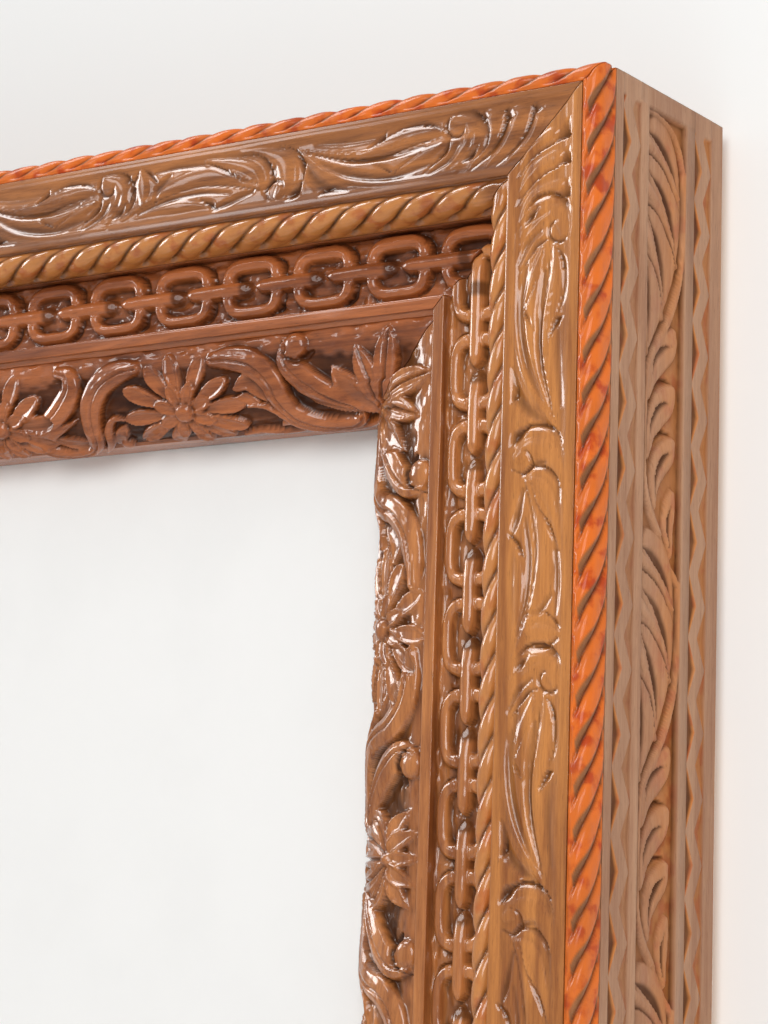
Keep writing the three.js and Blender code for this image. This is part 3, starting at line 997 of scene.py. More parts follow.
    def build(self, side: Side) -> bpy.types.Object:
        """Makes the plank of one side.

        Args:
            side: The side that it belongs to.

        Returns:
            The new piece.
        """
        front = MOULDING.rope_end + 0.05
        spans = [
            plain((0.3, front), (0.05, front + 0.25), (0.05, self.front_teeth - 0.5)),
            self.zigzag(self.front_teeth, self.first_tooth, 31),
            self.panel(side),
            self.zigzag(self.rear_teeth, self.first_rear_tooth, 32),
            plain(
                (0.05, self.rear_teeth + 2 * self.tooth_reach + 1.6),
                (0.05, MOULDING.depth - 0.5),
                (0.5, MOULDING.depth - 0.05),
                (MOULDING.rim - 0.4, MOULDING.depth - 0.05),
                (MOULDING.rim, MOULDING.depth - 0.45),
                (MOULDING.rim, front),
            ),
        ]
        return Board(side, spans, self.step, self.zone).build(f"rim_plank_carved_{side.name}")


@dataclass
class FriezeBoard:
    """The flat board with its scrolling leaves, and the small rope on its inner edge."""

    step: float = 0.8
    zone: float = 110.0
    row_step: float = 0.7
    field_start: float = 10.8
    field_end: float = 37.2
    sunk: float = 3.0
    rope_foot: float = 15.2
    rope_pitch: float = 15.6
    rope_sweep: float = 31.0
    rope_groove: float = 2.7
    unit: float = 178.0
    waves: Unevenness = Unevenness(41, 0.18, 17.0, 9.0)
    tools: Unevenness = Unevenness(42, 0.04, 4.0, 3.0)
    border: Unevenness = Unevenness(43, 0.3, 22.0, 1.0)
    rope_wander: Unevenness = Unevenness(51, 0.7, 23.0, 30.0)
    rope_tools: Unevenness = Unevenness(52, 0.1, 5.0, 4.0)
    rope_wear: Unevenness = Unevenness(53, 0.3, 4.0, 3.4)

    def corner(self) -> list[Stroke]:
        """Lobes that start the scroll at the corner of a short side.

        Returns:
            The strokes, lowest first.
        """
        lobed = (self.sunk, self.sunk, 0.85 * self.sunk)
        return [
            swell((27, 19, 4.0), (33, 28, 4.0), (41, 35, 1.5), rise=lobed),
            swell((36, 17, 6.0), (40, 26, 5.6), (50, 35, 1.5), rise=lobed),
            swell((48, 16.5, 6.2), (50, 25, 5.6), (58, 35, 1.5), rise=lobed),
            gouge((29.6, 14, 0.5), (29.2, 20, 1.7), (33.4, 27.8, 1.8), (45, 35.2, 0.3),
                  deep=(1.4, 1.7, 1.2, 0.3), hand=-1),
            gouge((41.8, 14, 0.5), (41.2, 20.6, 1.7), (45.8, 28.8, 1.8), (57, 35.6, 0.3),
                  deep=(1.4, 1.7, 1.2, 0.3), hand=-1),
            chip((24.2, 15.4), (29.4, 17.2), (29.0, 10.8), 1.7),
            chip((36.4, 16.8), (41.6, 18.6), (41.2, 11.0), 1.7),
            chip((48.4, 15.6), (52.0, 16.6), (52.4, 11.6), 1.6),
        ]

    def upright_corner(self) -> list[Stroke]:
        """Lobes that start the scroll at the corner of a long side, with cleanly cut chips between.

        Returns:
            The strokes, lowest first.
        """
        lobed = (self.sunk, self.sunk, 0.85 * self.sunk)
        return [
            swell((27, 21, 4.6), (32, 29, 4.4), (41, 36, 1.5), rise=lobed),
            swell((37, 19, 6.0), (41, 27, 5.6), (50, 36, 1.5), rise=lobed),
            swell((49, 18, 6.4), (52, 26.5, 6.0), (61, 35.5, 1.5), rise=lobed),
            gouge((29.8, 19, 0.4), (30.8, 25, 1.6), (35, 31.6, 1.6), (43, 36.6, 0.3),
                  deep=(1.4, 1.3, 1.0, 0.3), hand=-1),
            gouge((39.8, 18, 0.4), (41, 24.6, 1.6), (46, 32, 1.6), (55, 37, 0.3),
                  deep=(1.4, 1.3, 1.0, 0.3), hand=-1),
            chip((19.6, 12.8), (28.6, 12.4), (30.2, 22.4), 3.0),
            chip((31.0, 12.6), (38.7, 12.3), (39.7, 20.6), 3.0),
            chip((43.6, 12.6), (52.2, 12.3), (51.2, 20.6), 3.0),
        ]

    def scroll(self) -> list[Stroke]:
        """One repeat of the scroll: an outer volute, its spray, an inner volute and its spray.

        Returns:
            The strokes, lowest first.
        """
        top = self.sunk
        level = (top, top)
        falling = (top, top, 0.9 * top)
        bodies = [
            swell((66, 14, 3), (58, 18, 4.4), (57, 25, 4.8), (64, 32, 3.6), (76, 35, 0.8), rise=falling),
            swell((70, 18, 1.5), (80, 17.4, 3.6), (94, 19.4, 4.2), (108, 22, 2.6), (125, 19.6, 1.2),
                  (138, 16.4, 0.3), rise=falling),
            swell((71, 23.5, 1.2), (82, 27, 3.6), (96, 28.6, 4), (112, 27, 2.8), (126, 22.6, 1.4),
                  (136, 18, 0.3), rise=(top, top, 0.8 * top)),
            swell((64, 35.4, 1.2), (85, 35.9, 1.6), (102, 35, 1.7), (116, 31.8, 1.8), (126, 27, 1.8),
                  (137, 19, 1.7), (149, 12.8, 0.8), rise=level),
            swell((171, 12.6, 0.8), (158, 14.5, 3.4), (149, 19.5, 5.4), (147.5, 27, 5.4), (151, 33, 3),
                  rise=level),
            swell((189, 13.6, 0.8), (174, 17, 3.2), (164, 21.5, 4.4), (160, 27, 2.4), rise=level),
            swell((160, 29, 1.2), (172, 22.5, 3.6), (190, 20, 5.2), (208, 22.5, 4.6), (222, 28, 2.8),
                  (234, 33.5, 0.4), rise=falling),
            swell((184, 34.3, 0.8), (195, 31.6, 2.9), (212, 31.2, 2.9), (229, 33.6, 0.6),
                  rise=(0.8 * top, top, 0.8 * top)),
            swell((222, 28, 2.6), (223, 20, 4.6), (224, 12.4, 0.8), rise=level),
        ]
        hollowed = [
            hollow((57, 22, 1.5), (60, 28.5, 2.8), (67, 33, 1.2), deep=(0.4, 0.9, 0.3)),
            hollow((76, 30.5, 1.5), (95, 33, 2.2), (114, 30, 2.4), (130, 23, 1.4), deep=(0.4, 0.9, 0.9, 0.4)),
            hollow((100, 16.4, 1.5), (116, 16.2, 2.4), (132, 14.6, 1.6), deep=(0.3, 0.5, 0.3)),
            hollow((116, 36, 1.2), (128, 32.6, 3.4), (135, 26, 3.2), (140, 18, 1.6),
                   deep=(0.6, 1.5, 1.4, 0.6)),
            hollow((176, 29, 1.2), (192, 26.8, 1.6), (208, 27.6, 1.6), (224, 31.4, 0.8),
                   deep=(0.4, 0.9, 0.9, 0.4)),
            hollow((190, 15, 1.2), (204, 14.2, 2.0), (216, 15, 1.2), deep=(0.4, 0.8, 0.4)),
            hollow((80, 22.6, 1.4), (98, 24.6, 2.2), (116, 23.6, 1.8), (132, 19, 0.8),
                   deep=(0.5, 1.0, 0.9, 0.4)),
            hollow((64, 25, 1.6), (68, 30, 2.4), (76, 34, 1.0), deep=(0.6, 1.1, 0.4)),
            hollow((153, 21, 1.4), (154, 26, 1.8), (158, 31, 1.0), deep=(0.6, 1.2, 0.5)),
            hollow((164, 30, 1.4), (176, 32.6, 2.0), (184, 35, 1.0), deep=(0.6, 1.2, 0.5)),
            hollow((208, 17, 1.6), (214, 22, 2.4), (216, 28, 1.2), deep=(0.5, 1.0, 0.4)),
            hollow((232, 16, 1.6), (236, 24, 2.6), (238, 32, 1.2), deep=(0.5, 1.1, 0.4)),
        ]
        lines = [
            gouge((67, 12.4, 0.4), (57.5, 12.8, 1.3), (52, 18.4, 1.9), (51.6, 25.6, 2.0), (57, 32.6, 0.3),
                  deep=(0.5, 1.5, 1.9, 1.7, 0.3)),
            cut((54.4, 26, 0.8), (57.6, 29.6, 2.0), (62.4, 32.6, 0.4), deep=(0.8, 2.3, 0.4)),
            cut((65, 12.2, 0.3), (68.4, 14.2, 0.8), (68.9, 18, 1.0), (66, 21.2, 1.0), (62, 20.6, 0.8),
                (60.2, 16.8, 0.3), deep=(0.4, 1.0, 1.4, 1.5, 1.2, 0.4)),
            gouge((67.4, 22.4, 0.4), (69.4, 27.6, 1.4), (79, 33.6, 0.3), deep=(0.9, 1.7, 0.3), hand=-1),
            gouge((70.6, 17.6, 0.4), (77, 14.0, 1.1), (87, 12.9, 1.1), (97, 16.2, 0.3),
                  deep=(1.0, 1.2, 0.9, 0.3)),
            chip((97.2, 13.2), (98.2, 17.4), (108, 21.2), 2.3),
            gouge((93.2, 31.4, 0.3), (97, 29.2, 1.3), (103.4, 26, 0.3), deep=(0.4, 1.7, 0.3)),
            cut((80, 25, 0.3), (87, 28.4, 0.7), (93.4, 31.2, 0.4), deep=(0.4, 0.8, 0.8)),
            cut((72, 20.4, 0.3), (85, 21.6, 0.6), (101, 24.3, 0.7), (116, 23, 0.6), (137, 17.6, 0.3),
                deep=(0.7, 0.9, 0.9, 0.4)),
            cut((88, 19.4, 0.2), (102, 21.9, 0.5), (117, 21.1, 0.5), (134, 17.4, 0.2),
                deep=(0.3, 0.6, 0.6, 0.3)),
            gouge((151, 12.4, 0.4), (142.2, 17.2, 1.5), (139.6, 24.6, 1.8), (140.4, 31.4, 0.6),
                  deep=(0.6, 1.7, 2.1, 1.2)),
            cut((139.4, 29, 1.0), (142.2, 33, 2.8), (146.4, 35.8, 0.8), deep=(1.2, 2.6, 0.8)),
            cut((123, 33.8, 0.3), (127, 34.6, 1.1), (131, 36.6, 0.3), deep=(0.5, 1.9, 0.5)),
            gouge((171, 13.6, 0.3), (161.6, 15.6, 1.2), (156.2, 20.6, 1.4), (155.2, 27, 0.4),
                  deep=(0.5, 1.5, 1.6, 0.6)),
            cut((147.6, 31.4, 0.3), (149, 28, 0.8), (153.6, 26.8, 0.9), (157.2, 30, 0.9), (155.6, 34.4, 0.5),
                deep=(0.5, 1.4, 1.4, 1.1, 0.6)),
            gouge((188, 14.6, 0.3), (179, 19.4, 1.2), (170, 24.8, 1.0), (159, 27.6, 0.4),
                  deep=(0.4, 1.4, 0.9, 0.6)),
            cut((160, 29.6, 0.3), (175, 26, 0.6), (190, 24, 0.7), (206, 25.2, 0.6), (220, 28.6, 0.5),
                (232, 32.6, 0.2), deep=(0.6, 0.9, 0.9, 0.4)),
            gouge((182, 35.6, 0.4), (185.6, 31.6, 1.4), (193, 28.6, 0.3), deep=(0.8, 1.8, 0.4)),
            gouge((215, 18.6, 0.4), (219, 14.2, 1.1), (223, 11.8, 0.3), deep=(1.2, 1.4, 0.4)),
            cut((225, 12.5, 0.3), (228.4, 18, 1.1), (230, 25.4, 0.4), deep=(0.6, 1.6, 0.5)),
        ]
        return [*bodies, *hollowed, *lines]

    def strokes(self, side: Side) -> list[Stroke]:
        """All strokes from the corner to the middle of a side.

        Args:
            side: The side that it belongs to.

        Returns:
            The strokes, lowest first.
        """
        made = self.corner() if side.way is Way.ACROSS else self.upright_corner()
        for k in range(int(side.half / self.unit) + 1):
            made.extend(stroke.moved(k * self.unit) for stroke in self.scroll())
        return made

    def carve_field(self, side: Side) -> Carving:
        """Carving of the flat, for one side.

        Args:
            side: The side that it belongs to.

        Returns:
            The function that gives the carving at places on that side.
        """
        upright = side.way is Way.UPRIGHT

        def carve(u: Grid, v: Grid) -> Carved:
            """Scrolls on the flat, with painted shade in their hollows and cuts.

            Args:
                u: Distances along the side from the corner.
                v: Distances across the band.

            Returns:
                The carving at each place.
            """
            drawn = np.interp(u, [0, 64, 152, 235, 322, 500], [0, 64, 152, 243, 330, 508]) if upright else u
            relief = Relief(drawn, v, np.full_like(u, 0.78 * self.sunk))
            for stroke in self.strokes(side):
                relief.lay(stroke)
            marks = self.waves.at(u, v) + self.tools.at(u, v)
            height = np.minimum(relief.height + marks, self.sunk - 0.05) - self.sunk
            border = self.field_start + (1.6 if upright else 0.8) + self.border.at(u, 0 * v)
            inside = smooth(-1.4, 2.6, v - border) * (1 - smooth(-3.4, 0.9, v - self.field_end))
            line = (0.05 if upright else 0.2) * np.exp(-(((v - border + 2.0) / 0.6) ** 2))
            height = height * inside - line
            # Painted shade in the hollows and cuts of the scrolls.
            pooling_and_shade = np.maximum(hollows(height, 1.5), 0.9 * smooth(0.4, 1.9, relief.cuts) * inside)
            return Carved(height, pooling_and_shade)

        return carve

    def carve_rope(self, u: Grid, v: Grid) -> Carved:
        """Strands of the small rope, with painted shade in the grooves: v runs from 0 at its outer foot to 1
        at its inner foot.

        Args:
            u: Distances along the side from the corner.
            v: Shares of the way across the rope.

        Returns:
            The carving at each place.
        """
        turned = 0.5 - np.sin(np.arcsin(np.clip(1 - 2 * v, -1, 1)) / 3)
        wobble = self.rope_wander.at(u, v)
        phase = np.mod((u + wobble - self.rope_sweep * (0.75 * turned + 0.25 * v)) / self.rope_pitch, 1.0)
        lobe = np.abs(2 * phase - 1) ** 2.5
        fade = smooth(0.0, 0.1, v) * (1 - smooth(0.94, 1.0, v))
        height = -self.rope_groove * lobe * fade * (0.75 + 0.25 * v) - 0.1
        height = height + self.rope_tools.at(u, 20 * v)
        worn = (1 - smooth(46.0, 58.0, u)) * fade
        height = height * (1 - 0.5 * worn) - worn * (0.5 + self.rope_wear.at(u, 24 * v))
        # Painted shade in the grooves, less where the rope is worn.
        pooling_and_shade = smooth(0.42, 0.95, lobe) * fade * (1 - 0.5 * worn)
        return Carved(height, pooling_and_shade, 0.6 * fade * (1 - worn))

    def rope_rows(self) -> tuple[Grid, Grid, Grid]:
        """Places, outward directions and shares of the small rope's rows, down to its inner foot.

        Returns:
            The places as inset and depth, the directions, and the shares.
        """
        half = MOULDING.small_rope_width / 2
        height = MOULDING.small_rope_height
        first = math.pi + math.asin(1 - MOULDING.small_rope_quirk / height)
        centre = MOULDING.small_rope - half * math.cos(first)
        inner = MOULDING.chain - centre
        angle = np.linspace(first, 2 * math.pi, 28)
        radius = np.where(angle < 1.5 * math.pi, half, inner)
        rounded = np.column_stack([centre + radius * np.cos(angle), height + height * np.sin(angle)])
        down = np.arange(height + 0.7, self.rope_foot, 0.7)
        wall = np.column_stack([np.full(len(down), MOULDING.chain), down])
        points = np.vstack([rounded, wall])
        out = np.column_stack([np.cos(angle), np.sin(angle)])
        out = np.vstack([out, np.tile([1.0, 0.0], (len(down), 1))])
        length = np.concatenate([[0.0], np.cumsum(np.linalg.norm(np.diff(points, axis=0), axis=1))])
        return points, out, length / length[-1]

    def build(self, side: Side) -> bpy.types.Object:
        """Makes the board of one side.

        Args:
            side: The side that it belongs to.

        Returns:
            The new piece.
        """
        first, last = self.field_start - 1.2, MOULDING.small_rope - 0.6
        insets = np.linspace(first, last, int((last - first) / self.row_step) + 1)
        flat = np.column_stack([insets, np.zeros(len(insets))])
        out = np.column_stack([np.zeros(len(insets)), -np.ones(len(insets))])
        outer, back = MOULDING.board, MOULDING.frieze_thickness
        spans = [
            plain((outer, back), (outer, 0.12), (outer + 0.05, 0.06), (first - 0.6, 0.06), support=0.06),
            band(flat, out, insets, self.carve_field(side)),
            plain((MOULDING.small_rope - 0.06, 0.06), (MOULDING.small_rope, 0.14)),
            band(*self.rope_rows(), self.carve_rope),
            plain((MOULDING.chain, self.rope_foot + 0.2), (MOULDING.chain, back)),
        ]
        return Board(side, spans, self.step, self.zone).build(f"frieze_board_carved_{side.name}")


@dataclass
class Chain:
    """The carved chain: links seen face on, joined by links seen edge on."""

    middle: float = 64.7
    half_length: float = 12.8
    half_width: float = 10.2
    wire: float = 3.2
    ring_steps: int = 32
    squareness: float = 0.56
    bar_half: float = 17.4
    bar_width: float = 3.6
    rise: float = 6.6
    bar_rise: float = 7.1
    first_across: float = 103.4
    first_upright: float = 110.5
    pitch: float = 36.4
    first_longer: float = 14.0

    def places(self, side: Side) -> list[float]:
        """Places of the face-on links from the corner to the middle of the side.

        Args:
            side: The side that it belongs to.

        Returns:
            Distances from the corner.
        """
        first = self.first_across if side.way is Way.ACROSS else self.first_upright
        count = round((side.half - first) / self.pitch)
        pitch = (side.half - first) / count
        return [first + k * pitch for k in range(-1, count + 1)]

    def link(self, u: float, wire: float) -> Stroke:
        """A face-on link: a rounded rectangle of round wire.

        Args:
            u: Place of its middle along the side.
            wire: Half the width of its wire.

        Returns:
            Its stroke.
        """
        made = []
        low = 0.84 * self.rise
        for k in range(self.ring_steps + 1):
            angle = 2 * math.pi * k / self.ring_steps
            x = math.copysign(abs(math.cos(angle)) ** self.squareness, math.cos(angle))
            y = math.copysign(abs(math.sin(angle)) ** self.squareness, math.sin(angle))
            made.append((u + self.half_length * x, self.middle - self.half_width * y, wire + 0.25 * y))
        return Stroke(Form.ROUND, tuple(made), (*[self.rise] * 4, low, low, self.rise))

    def shade(self, u: float) -> list[Stroke]:
        """The deep cuts outside the corner side of a face-on link, which the cut mask paints in shade.

        Args:
            u: Place of the link's middle along the side.

        Returns:
            The cuts.
        """
        start, reach, middle = u - self.half_length, self.half_width, self.middle
        upper = [(start + 4.4, middle - reach - 2.4, 0.5), (start - 0.6, middle - 0.78 * reach - 1.4, 2.0)]
        upper.append((start - 3.2, middle - 0.36 * reach, 0.5))
        lower = [(start - 3.2, middle + 0.36 * reach, 0.5), (start - 0.8, middle + 0.78 * reach + 1.2, 1.8)]
        lower.append((start + 4.0, middle + reach + 2.4, 0.5))
        return [cut(*upper, deep=(0.6, 2.6, 0.8)), cut(*lower, deep=(0.8, 2.4, 0.6))]

    def bar(self, u: float, longer: float = 0.0) -> Stroke:
        """An edge-on link: a bar, blunt towards the corner and pointed the other way.

        Args:
            u: Place of its middle along the side.
            longer: Length added at its blunt end.

        Returns:
            Its stroke.
        """
        h, w = self.bar_half, self.bar_width
        shape = [(-h + 2.6, 2.5), (-h + 5.2, w - 0.1), (-0.3 * h, w)]
        shape += [(0.3 * h, w), (h - 5.0, w - 0.3), (h - 1.6, 1.5)]
        points = tuple((u + x - (longer if x < 0 else 0.0), self.middle, half) for x, half in shape)
        top = self.bar_rise
        return Stroke(Form.ROUND, points, (0.58 * top, 0.84 * top, top, top, top, 0.86 * top))

    def end_shade(self, side: Side, u: Grid, v: Grid) -> Grid:
        """Mask of the painted shade on the bars' blunt ends.

        Args:
            side: The side that the chain belongs to.
            u: Distances from the corner.
            v: Insets.

        Returns:
            Values from 0 to 1.
        """
        places = np.array(self.places(side))
        ends = (places[:-1] + places[1:]) / 2 - self.bar_half + 2.4
        away = np.abs(u[..., None] - ends).min(axis=-1)
        return (1 - smooth(1.6, 4.2, away)) * (1 - smooth(2.8, 4.4, np.abs(v - self.middle)))

    def strokes(self, side: Side) -> list[Stroke]:
        """All strokes from the corner to the middle of a side.

        Args:
            side: The side that it belongs to.

        Returns:
            The strokes, lowest first.
        """
        chance = np.random.default_rng(80 + SIDE_NAMES.index(side.name))
        places = self.places(side)
        made = [stroke for u in places for stroke in self.shade(u)]
        for u in places:
            made.append(self.link(u + chance.uniform(-0.4, 0.4), self.wire + chance.uniform(-0.15, 0.15)))
        for k, (near, far) in enumerate(zip(places[:-1], places[1:])):
            place = (near + far) / 2 - 0.6 + chance.uniform(-0.3, 0.3)
            made.append(self.bar(place, 0.0 if k else self.first_longer))
        return made


@dataclass
class SightBoard:
    """The thick board: the chain in its band, fillet, quirk, sight lip and rebate."""

    step: float = 0.78
    zone: float = 190.0
    row_step: float = 0.64
    lip_setback: float = 3.6
    under_carving: float = 7.0
    pits: Unevenness = Unevenness(61, 0.7, 3.6, 2.2)
    waves: Unevenness = Unevenness(62, 0.45, 9.0, 5.0)
    plane_marks: Unevenness = Unevenness(63, 0.16, 27.0, 6.0)
    tools: Unevenness = Unevenness(64, 0.08, 3.0, 2.0)

    def carve_chain(self, side: Side) -> Carving:
        """Carving of the chain band, for one side.

        Args:
            side: The side that it belongs to.

        Returns:
            The function that gives the carving at places on that side.
        """

        def carve(u: Grid, v: Grid) -> Carved:
            """Links on their rough ground, with painted shade in hollows, cuts and at the bars' blunt ends.

            Args:
                u: Distances along the side from the corner.
                v: Distances across the band.

            Returns:
                The carving at each place.
            """
            marks = self.pits.at(u, v) + self.waves.at(u, v)
            relief = Relief(u, v, 1.5 + marks)
            for stroke in Chain().strokes(side):
                relief.lay(stroke)
            height = np.clip(relief.height + self.tools.at(u, v), 0.0, MOULDING.chain_recess)
            edge = 1.2 * (1 - smooth(0.0, 1.3, MOULDING.fillet - v)) * (height < 3.0)
            # Painted shade in hollows and cuts, and on the bars' blunt ends.
            pooling_and_shade = np.clip(hollows(height, 3.0) + 0.9 * smooth(0.15, 0.9, relief.cuts), 0.0, 1.0)
            pooling_and_shade = np.maximum(pooling_and_shade, 0.8 * Chain().end_shade(side, u, v))
            return Carved(height + edge, pooling_and_shade)

        return carve

    def carve_fillet(self, u: Grid, v: Grid) -> Carved:
        """Plain fillet, a little uneven."""
        return Carved(self.plane_marks.at(u, v) - 0.2)

    def build(self, side: Side) -> bpy.types.Object:
        """Makes the board of one side.

        Args:
            side: The side that it belongs to.

        Returns:
            The new piece.
        """
        m = MOULDING
        first, last = m.chain + 0.2, m.fillet - 0.2
        ground = np.linspace(first, last, int((last - first) / self.row_step) + 1)
        top = np.linspace(m.fillet + 0.3, m.quirk - 0.3, 5)
        out_ground = np.column_stack([np.zeros(len(ground)), -np.ones(len(ground))])
        out_top = np.column_stack([np.zeros(len(top)), -np.ones(len(top))])
        angle = np.linspace(1.5 * math.pi, 2 * math.pi, 7)
        wide = m.ovolo_width - self.under_carving
        drop = m.ovolo_drop - self.under_carving
        hidden = [(m.ovolo + wide * math.cos(a), m.sight_edge + drop * math.sin(a)) for a in angle]
        lip = m.sight - self.lip_setback
        hidden[-1] = (hidden[-1][0], m.sight_edge + 0.3)
        flat = np.full(len(ground), m.chain_ground)
        spans = [
            plain((m.board, m.sight_front), (m.chain, m.sight_front), (m.chain, m.chain_ground - 0.2)),
            band(np.column_stack([ground, flat]), out_ground, ground, self.carve_chain(side)),
            plain((m.fillet, m.chain_ground - 0.2), (m.fillet, m.sight_front + 0.4)),
            band(np.column_stack([top, np.full(len(top), m.sight_front)]), out_top, top, self.carve_fillet),
            plain(
                (m.quirk, m.sight_front + 0.4),
                (m.quirk, m.ovolo_front + 0.4),
                (m.ovolo - 0.2, m.ovolo_front + 0.6),
            ),
            Span(*np.array(hidden).T, np.zeros((len(hidden), 2)), np.zeros(len(hidden))),
            plain(
                (lip, m.sight_edge + 0.4),
                (lip, m.sight_edge + m.lip),
                (m.sight - m.lap, m.sight_edge + m.lip),
                (m.sight - m.lap, m.back),
                (m.board, m.back),
            ),
        ]
        return Board(side, spans, self.step, self.zone).build(f"sight_board_carved_{side.name}")


@dataclass
class Flowers:
    """The relief on the ovolo: flowers, scrolls, palmettes and corner leaves."""

    step: float = 0.65
    zone: float = 110.0
    row_step: float = 0.66
    relief: float = 5.6
    core: float = 6.6
    samples: int = 400
    pits: Unevenness = Unevenness(71, 0.4, 5.0, 2.2)
    waves: Unevenness = Unevenness(72, 0.25, 9.0, 7.0)
    tools: Unevenness = Unevenness(73, 0.1, 2.6, 2.2)

    def flower(self, u: float, v: float) -> list[Stroke]:
        """A flower with two rings of petals round a boss.

        Args:
            u: Place of its centre along the side.
            v: Place of its centre across the ovolo.

        Returns:
            Its strokes, lowest first.
        """
        tips = [(-12.5, -23.5), (4.5, -26.0), (17.5, -22.0), (30.0, -13.5), (32.5, 0.5), (27.5, 12.0)]
        tips += [(11.5, 17.0), (-6.0, 18.0), (-19.0, 16.5), (-28.5, 10.5), (-31.5, -1.5), (-24.0, -13.0)]
        made = []
        for k in [*range(0, len(tips), 2), *range(1, len(tips), 2)]:
            du, dv = tips[k]
            rise = 4.0 if k % 2 else 3.3
            shape = [(0.32, 2.0), (0.55, 3.6), (0.76, 4.5), (0.92, 3.4), (1.03, 0.9)]
            points = [(u + s * du, v + s * dv, w) for s, w in shape]
            made.append(petal(*points, rise=(rise, rise + 0.4, rise)))
        inner = 8
        for k in range(inner):
            angle = 2 * math.pi * (k + 0.5) / inner
            shape = [(3.0, 1.6), (7.0, 3.0), (11.0, 3.7), (14.0, 2.2)]
            points = [(u + r * math.cos(angle), v + 0.92 * r * math.sin(angle), w) for r, w in shape]
            rise = 4.9 if k % 2 else 4.5
            made.append(cut(*[(a, b, w + 0.8) for a, b, w in points[1:]], deep=(0.5, 0.9)))
            made.append(petal(*points, rise=(rise - 0.6, rise, rise - 0.1)))
        made.append(cut((u - 0.1, v, 6.4), (u + 0.1, v, 6.4), deep=(2.0, 2.0)))
        made.append(ball(u, v, 4.9, 5.6))
        return made

    def scroll(self) -> list[Stroke]:
        """The scroll between the corner leaves and the first flower.

        Returns:
            The strokes, lowest first.
        """
        return [
            petal((172, 31.5, 0.8), (176, 24, 4.2), (182, 19.5, 4.6), (189, 22, 2.0), rise=(2.6, 3.8, 3.2)),
            petal((176, 33, 1.0), (183, 27.5, 3.2), (189.5, 26, 1.2), rise=(2.6, 3.4, 2.6)),
            stem((152, 46, 0.6), (160, 43.5, 2.8), (168, 41.6, 3.0), (173, 44, 0.8), rise=(2.4, 3.4, 2.8)),
            stem((155, 46.5, 0.8), (170, 49.8, 2.0), (184, 46.4, 2.0), (194, 47.5, 1.2),
                 rise=(3.2, 3.8, 3.4)),
            ribbed((199, 8, 3.6), (189, 8.4, 5.6), (178, 11.6, 6.6), (170, 19.4, 6.4), (166.4, 29, 5.8),
                   (161, 38, 5.2), (151, 44.2, 4.6), (140, 46.2, 4.0), (132.5, 43.5, 3.0), (130, 38.5, 1.6),
                   rise=(4.0, 5.2, 5.6, 5.4, 5.0, 4.6, 3.8), hand=-1),
            stem((120.5, 40, 1.2), (127, 47.0, 1.9), (140, 50, 2.0), (152, 48.8, 2.0), (162, 43.6, 1.9),
                 (168, 37, 1.8), (175, 31.4, 1.7), (184, 30.5, 1.0), rise=(4.0, 5.0, 5.2, 5.0, 4.2)),
            petal((157, 26.5, 0.5), (148, 31.2, 2.6), (139.5, 35.4, 2.8), (131, 40, 1.2),
                  rise=(3.0, 4.0, 3.6)),
            ribbed((159.5, 6.5, 4.0), (159.6, 13, 5.8), (153.5, 20.5, 6.6), (145, 27, 5.8), (136.5, 33, 3.6),
                   (129, 38.5, 0.8), rise=(4.9, 5.5, 5.4, 4.6, 3.4), hand=-1),
            cut((163, 2.4, 0.4), (160.6, 9.6, 1.1), (154.5, 12.8, 1.8), (148, 9.5, 1.4),
                deep=(0.8, 2.6, 2.0)),
            ball(155, 5.8, 5.8, 5.4),
        ]

    def corner(self) -> list[Stroke]:
        """Leaves that spread from the foot of the mitre.

        Returns:
            The strokes, lowest first.
        """
        return [
            petal((121, 40.5, 2.0), (127, 33.5, 5.8), (133.5, 25.5, 6.0), (139.8, 16.5, 0.6),
                  rise=(3.8, 4.6, 3.2)),
            leaf((120.3, 40, 1.2), (120.8, 29, 4.6), (123.2, 18.4, 5.4), (125.6, 7.6, 0.5),
                 rise=(4.2, 5.0, 3.6)),
            leaf((119.2, 38, 1.2), (115.2, 26, 4.8), (110.8, 13, 5.6), (108, 1.2, 0.5), rise=(4.4, 5.2, 3.8)),
            stem((119, 37.5, 1.6), (121, 43, 3.0), (124, 49, 2.0), rise=(4.0, 4.4, 3.6)),
        ]

    def crossing(self) -> list[Stroke]:
        """The scrolls between two flowers of a short side.

        Returns:
            The strokes, lowest first.
        """
        return [
            petal((253, 34, 0.8), (257.5, 39.5, 3.8), (262, 46, 2.0), rise=(2.2, 3.0, 2.6)),
            ball(258, 47.4, 3.8, 3.6),
            ribbed((241, 7.5, 3.4), (251, 8.6, 5.6), (261, 13.4, 6.4), (267.4, 22, 6.2), (270, 32, 5.6),
                   (272, 41, 4.8), (279, 47.2, 4.0), (290, 48.6, 3.6), (300, 44.2, 4.2), (307.5, 36, 5.2),
                   (307, 27, 4.6), (302, 21, 1.4), rise=(4.0, 5.2, 5.6, 5.4, 5.0, 5.0, 4.8, 3.8), hand=1),
            stem((251, 31.5, 0.8), (257.5, 30, 2.0), (262.5, 35.5, 2.6), (265.5, 44, 2.6), (272, 50.6, 1.4),
                 rise=(3.4, 4.4, 4.6, 4.2)),
            petal((275, 43, 0.8), (283, 42.4, 4.2), (292, 39.4, 3.0), (296, 37.4, 0.8), rise=(2.8, 3.6, 3.0)),
            stem((279.5, 29, 1.2), (287, 32, 2.4), (295.5, 36, 2.8), (299, 42, 1.8), rise=(3.8, 4.4, 4.0)),
            ribbed((285, 5.5, 2.8), (278.4, 8, 4.4), (278, 14.5, 5.8), (284.4, 21.8, 6.0), (293, 27.8, 5.2),
                   (300.5, 34, 3.6), (303.5, 40, 1.4), rise=(4.4, 5.4, 5.6, 5.2, 4.2), hand=-1),
            cut((289, 9, 0.5), (284, 9.6, 1.4), (281.6, 14, 0.6), deep=(1.0, 2.6, 0.5)),
        ]

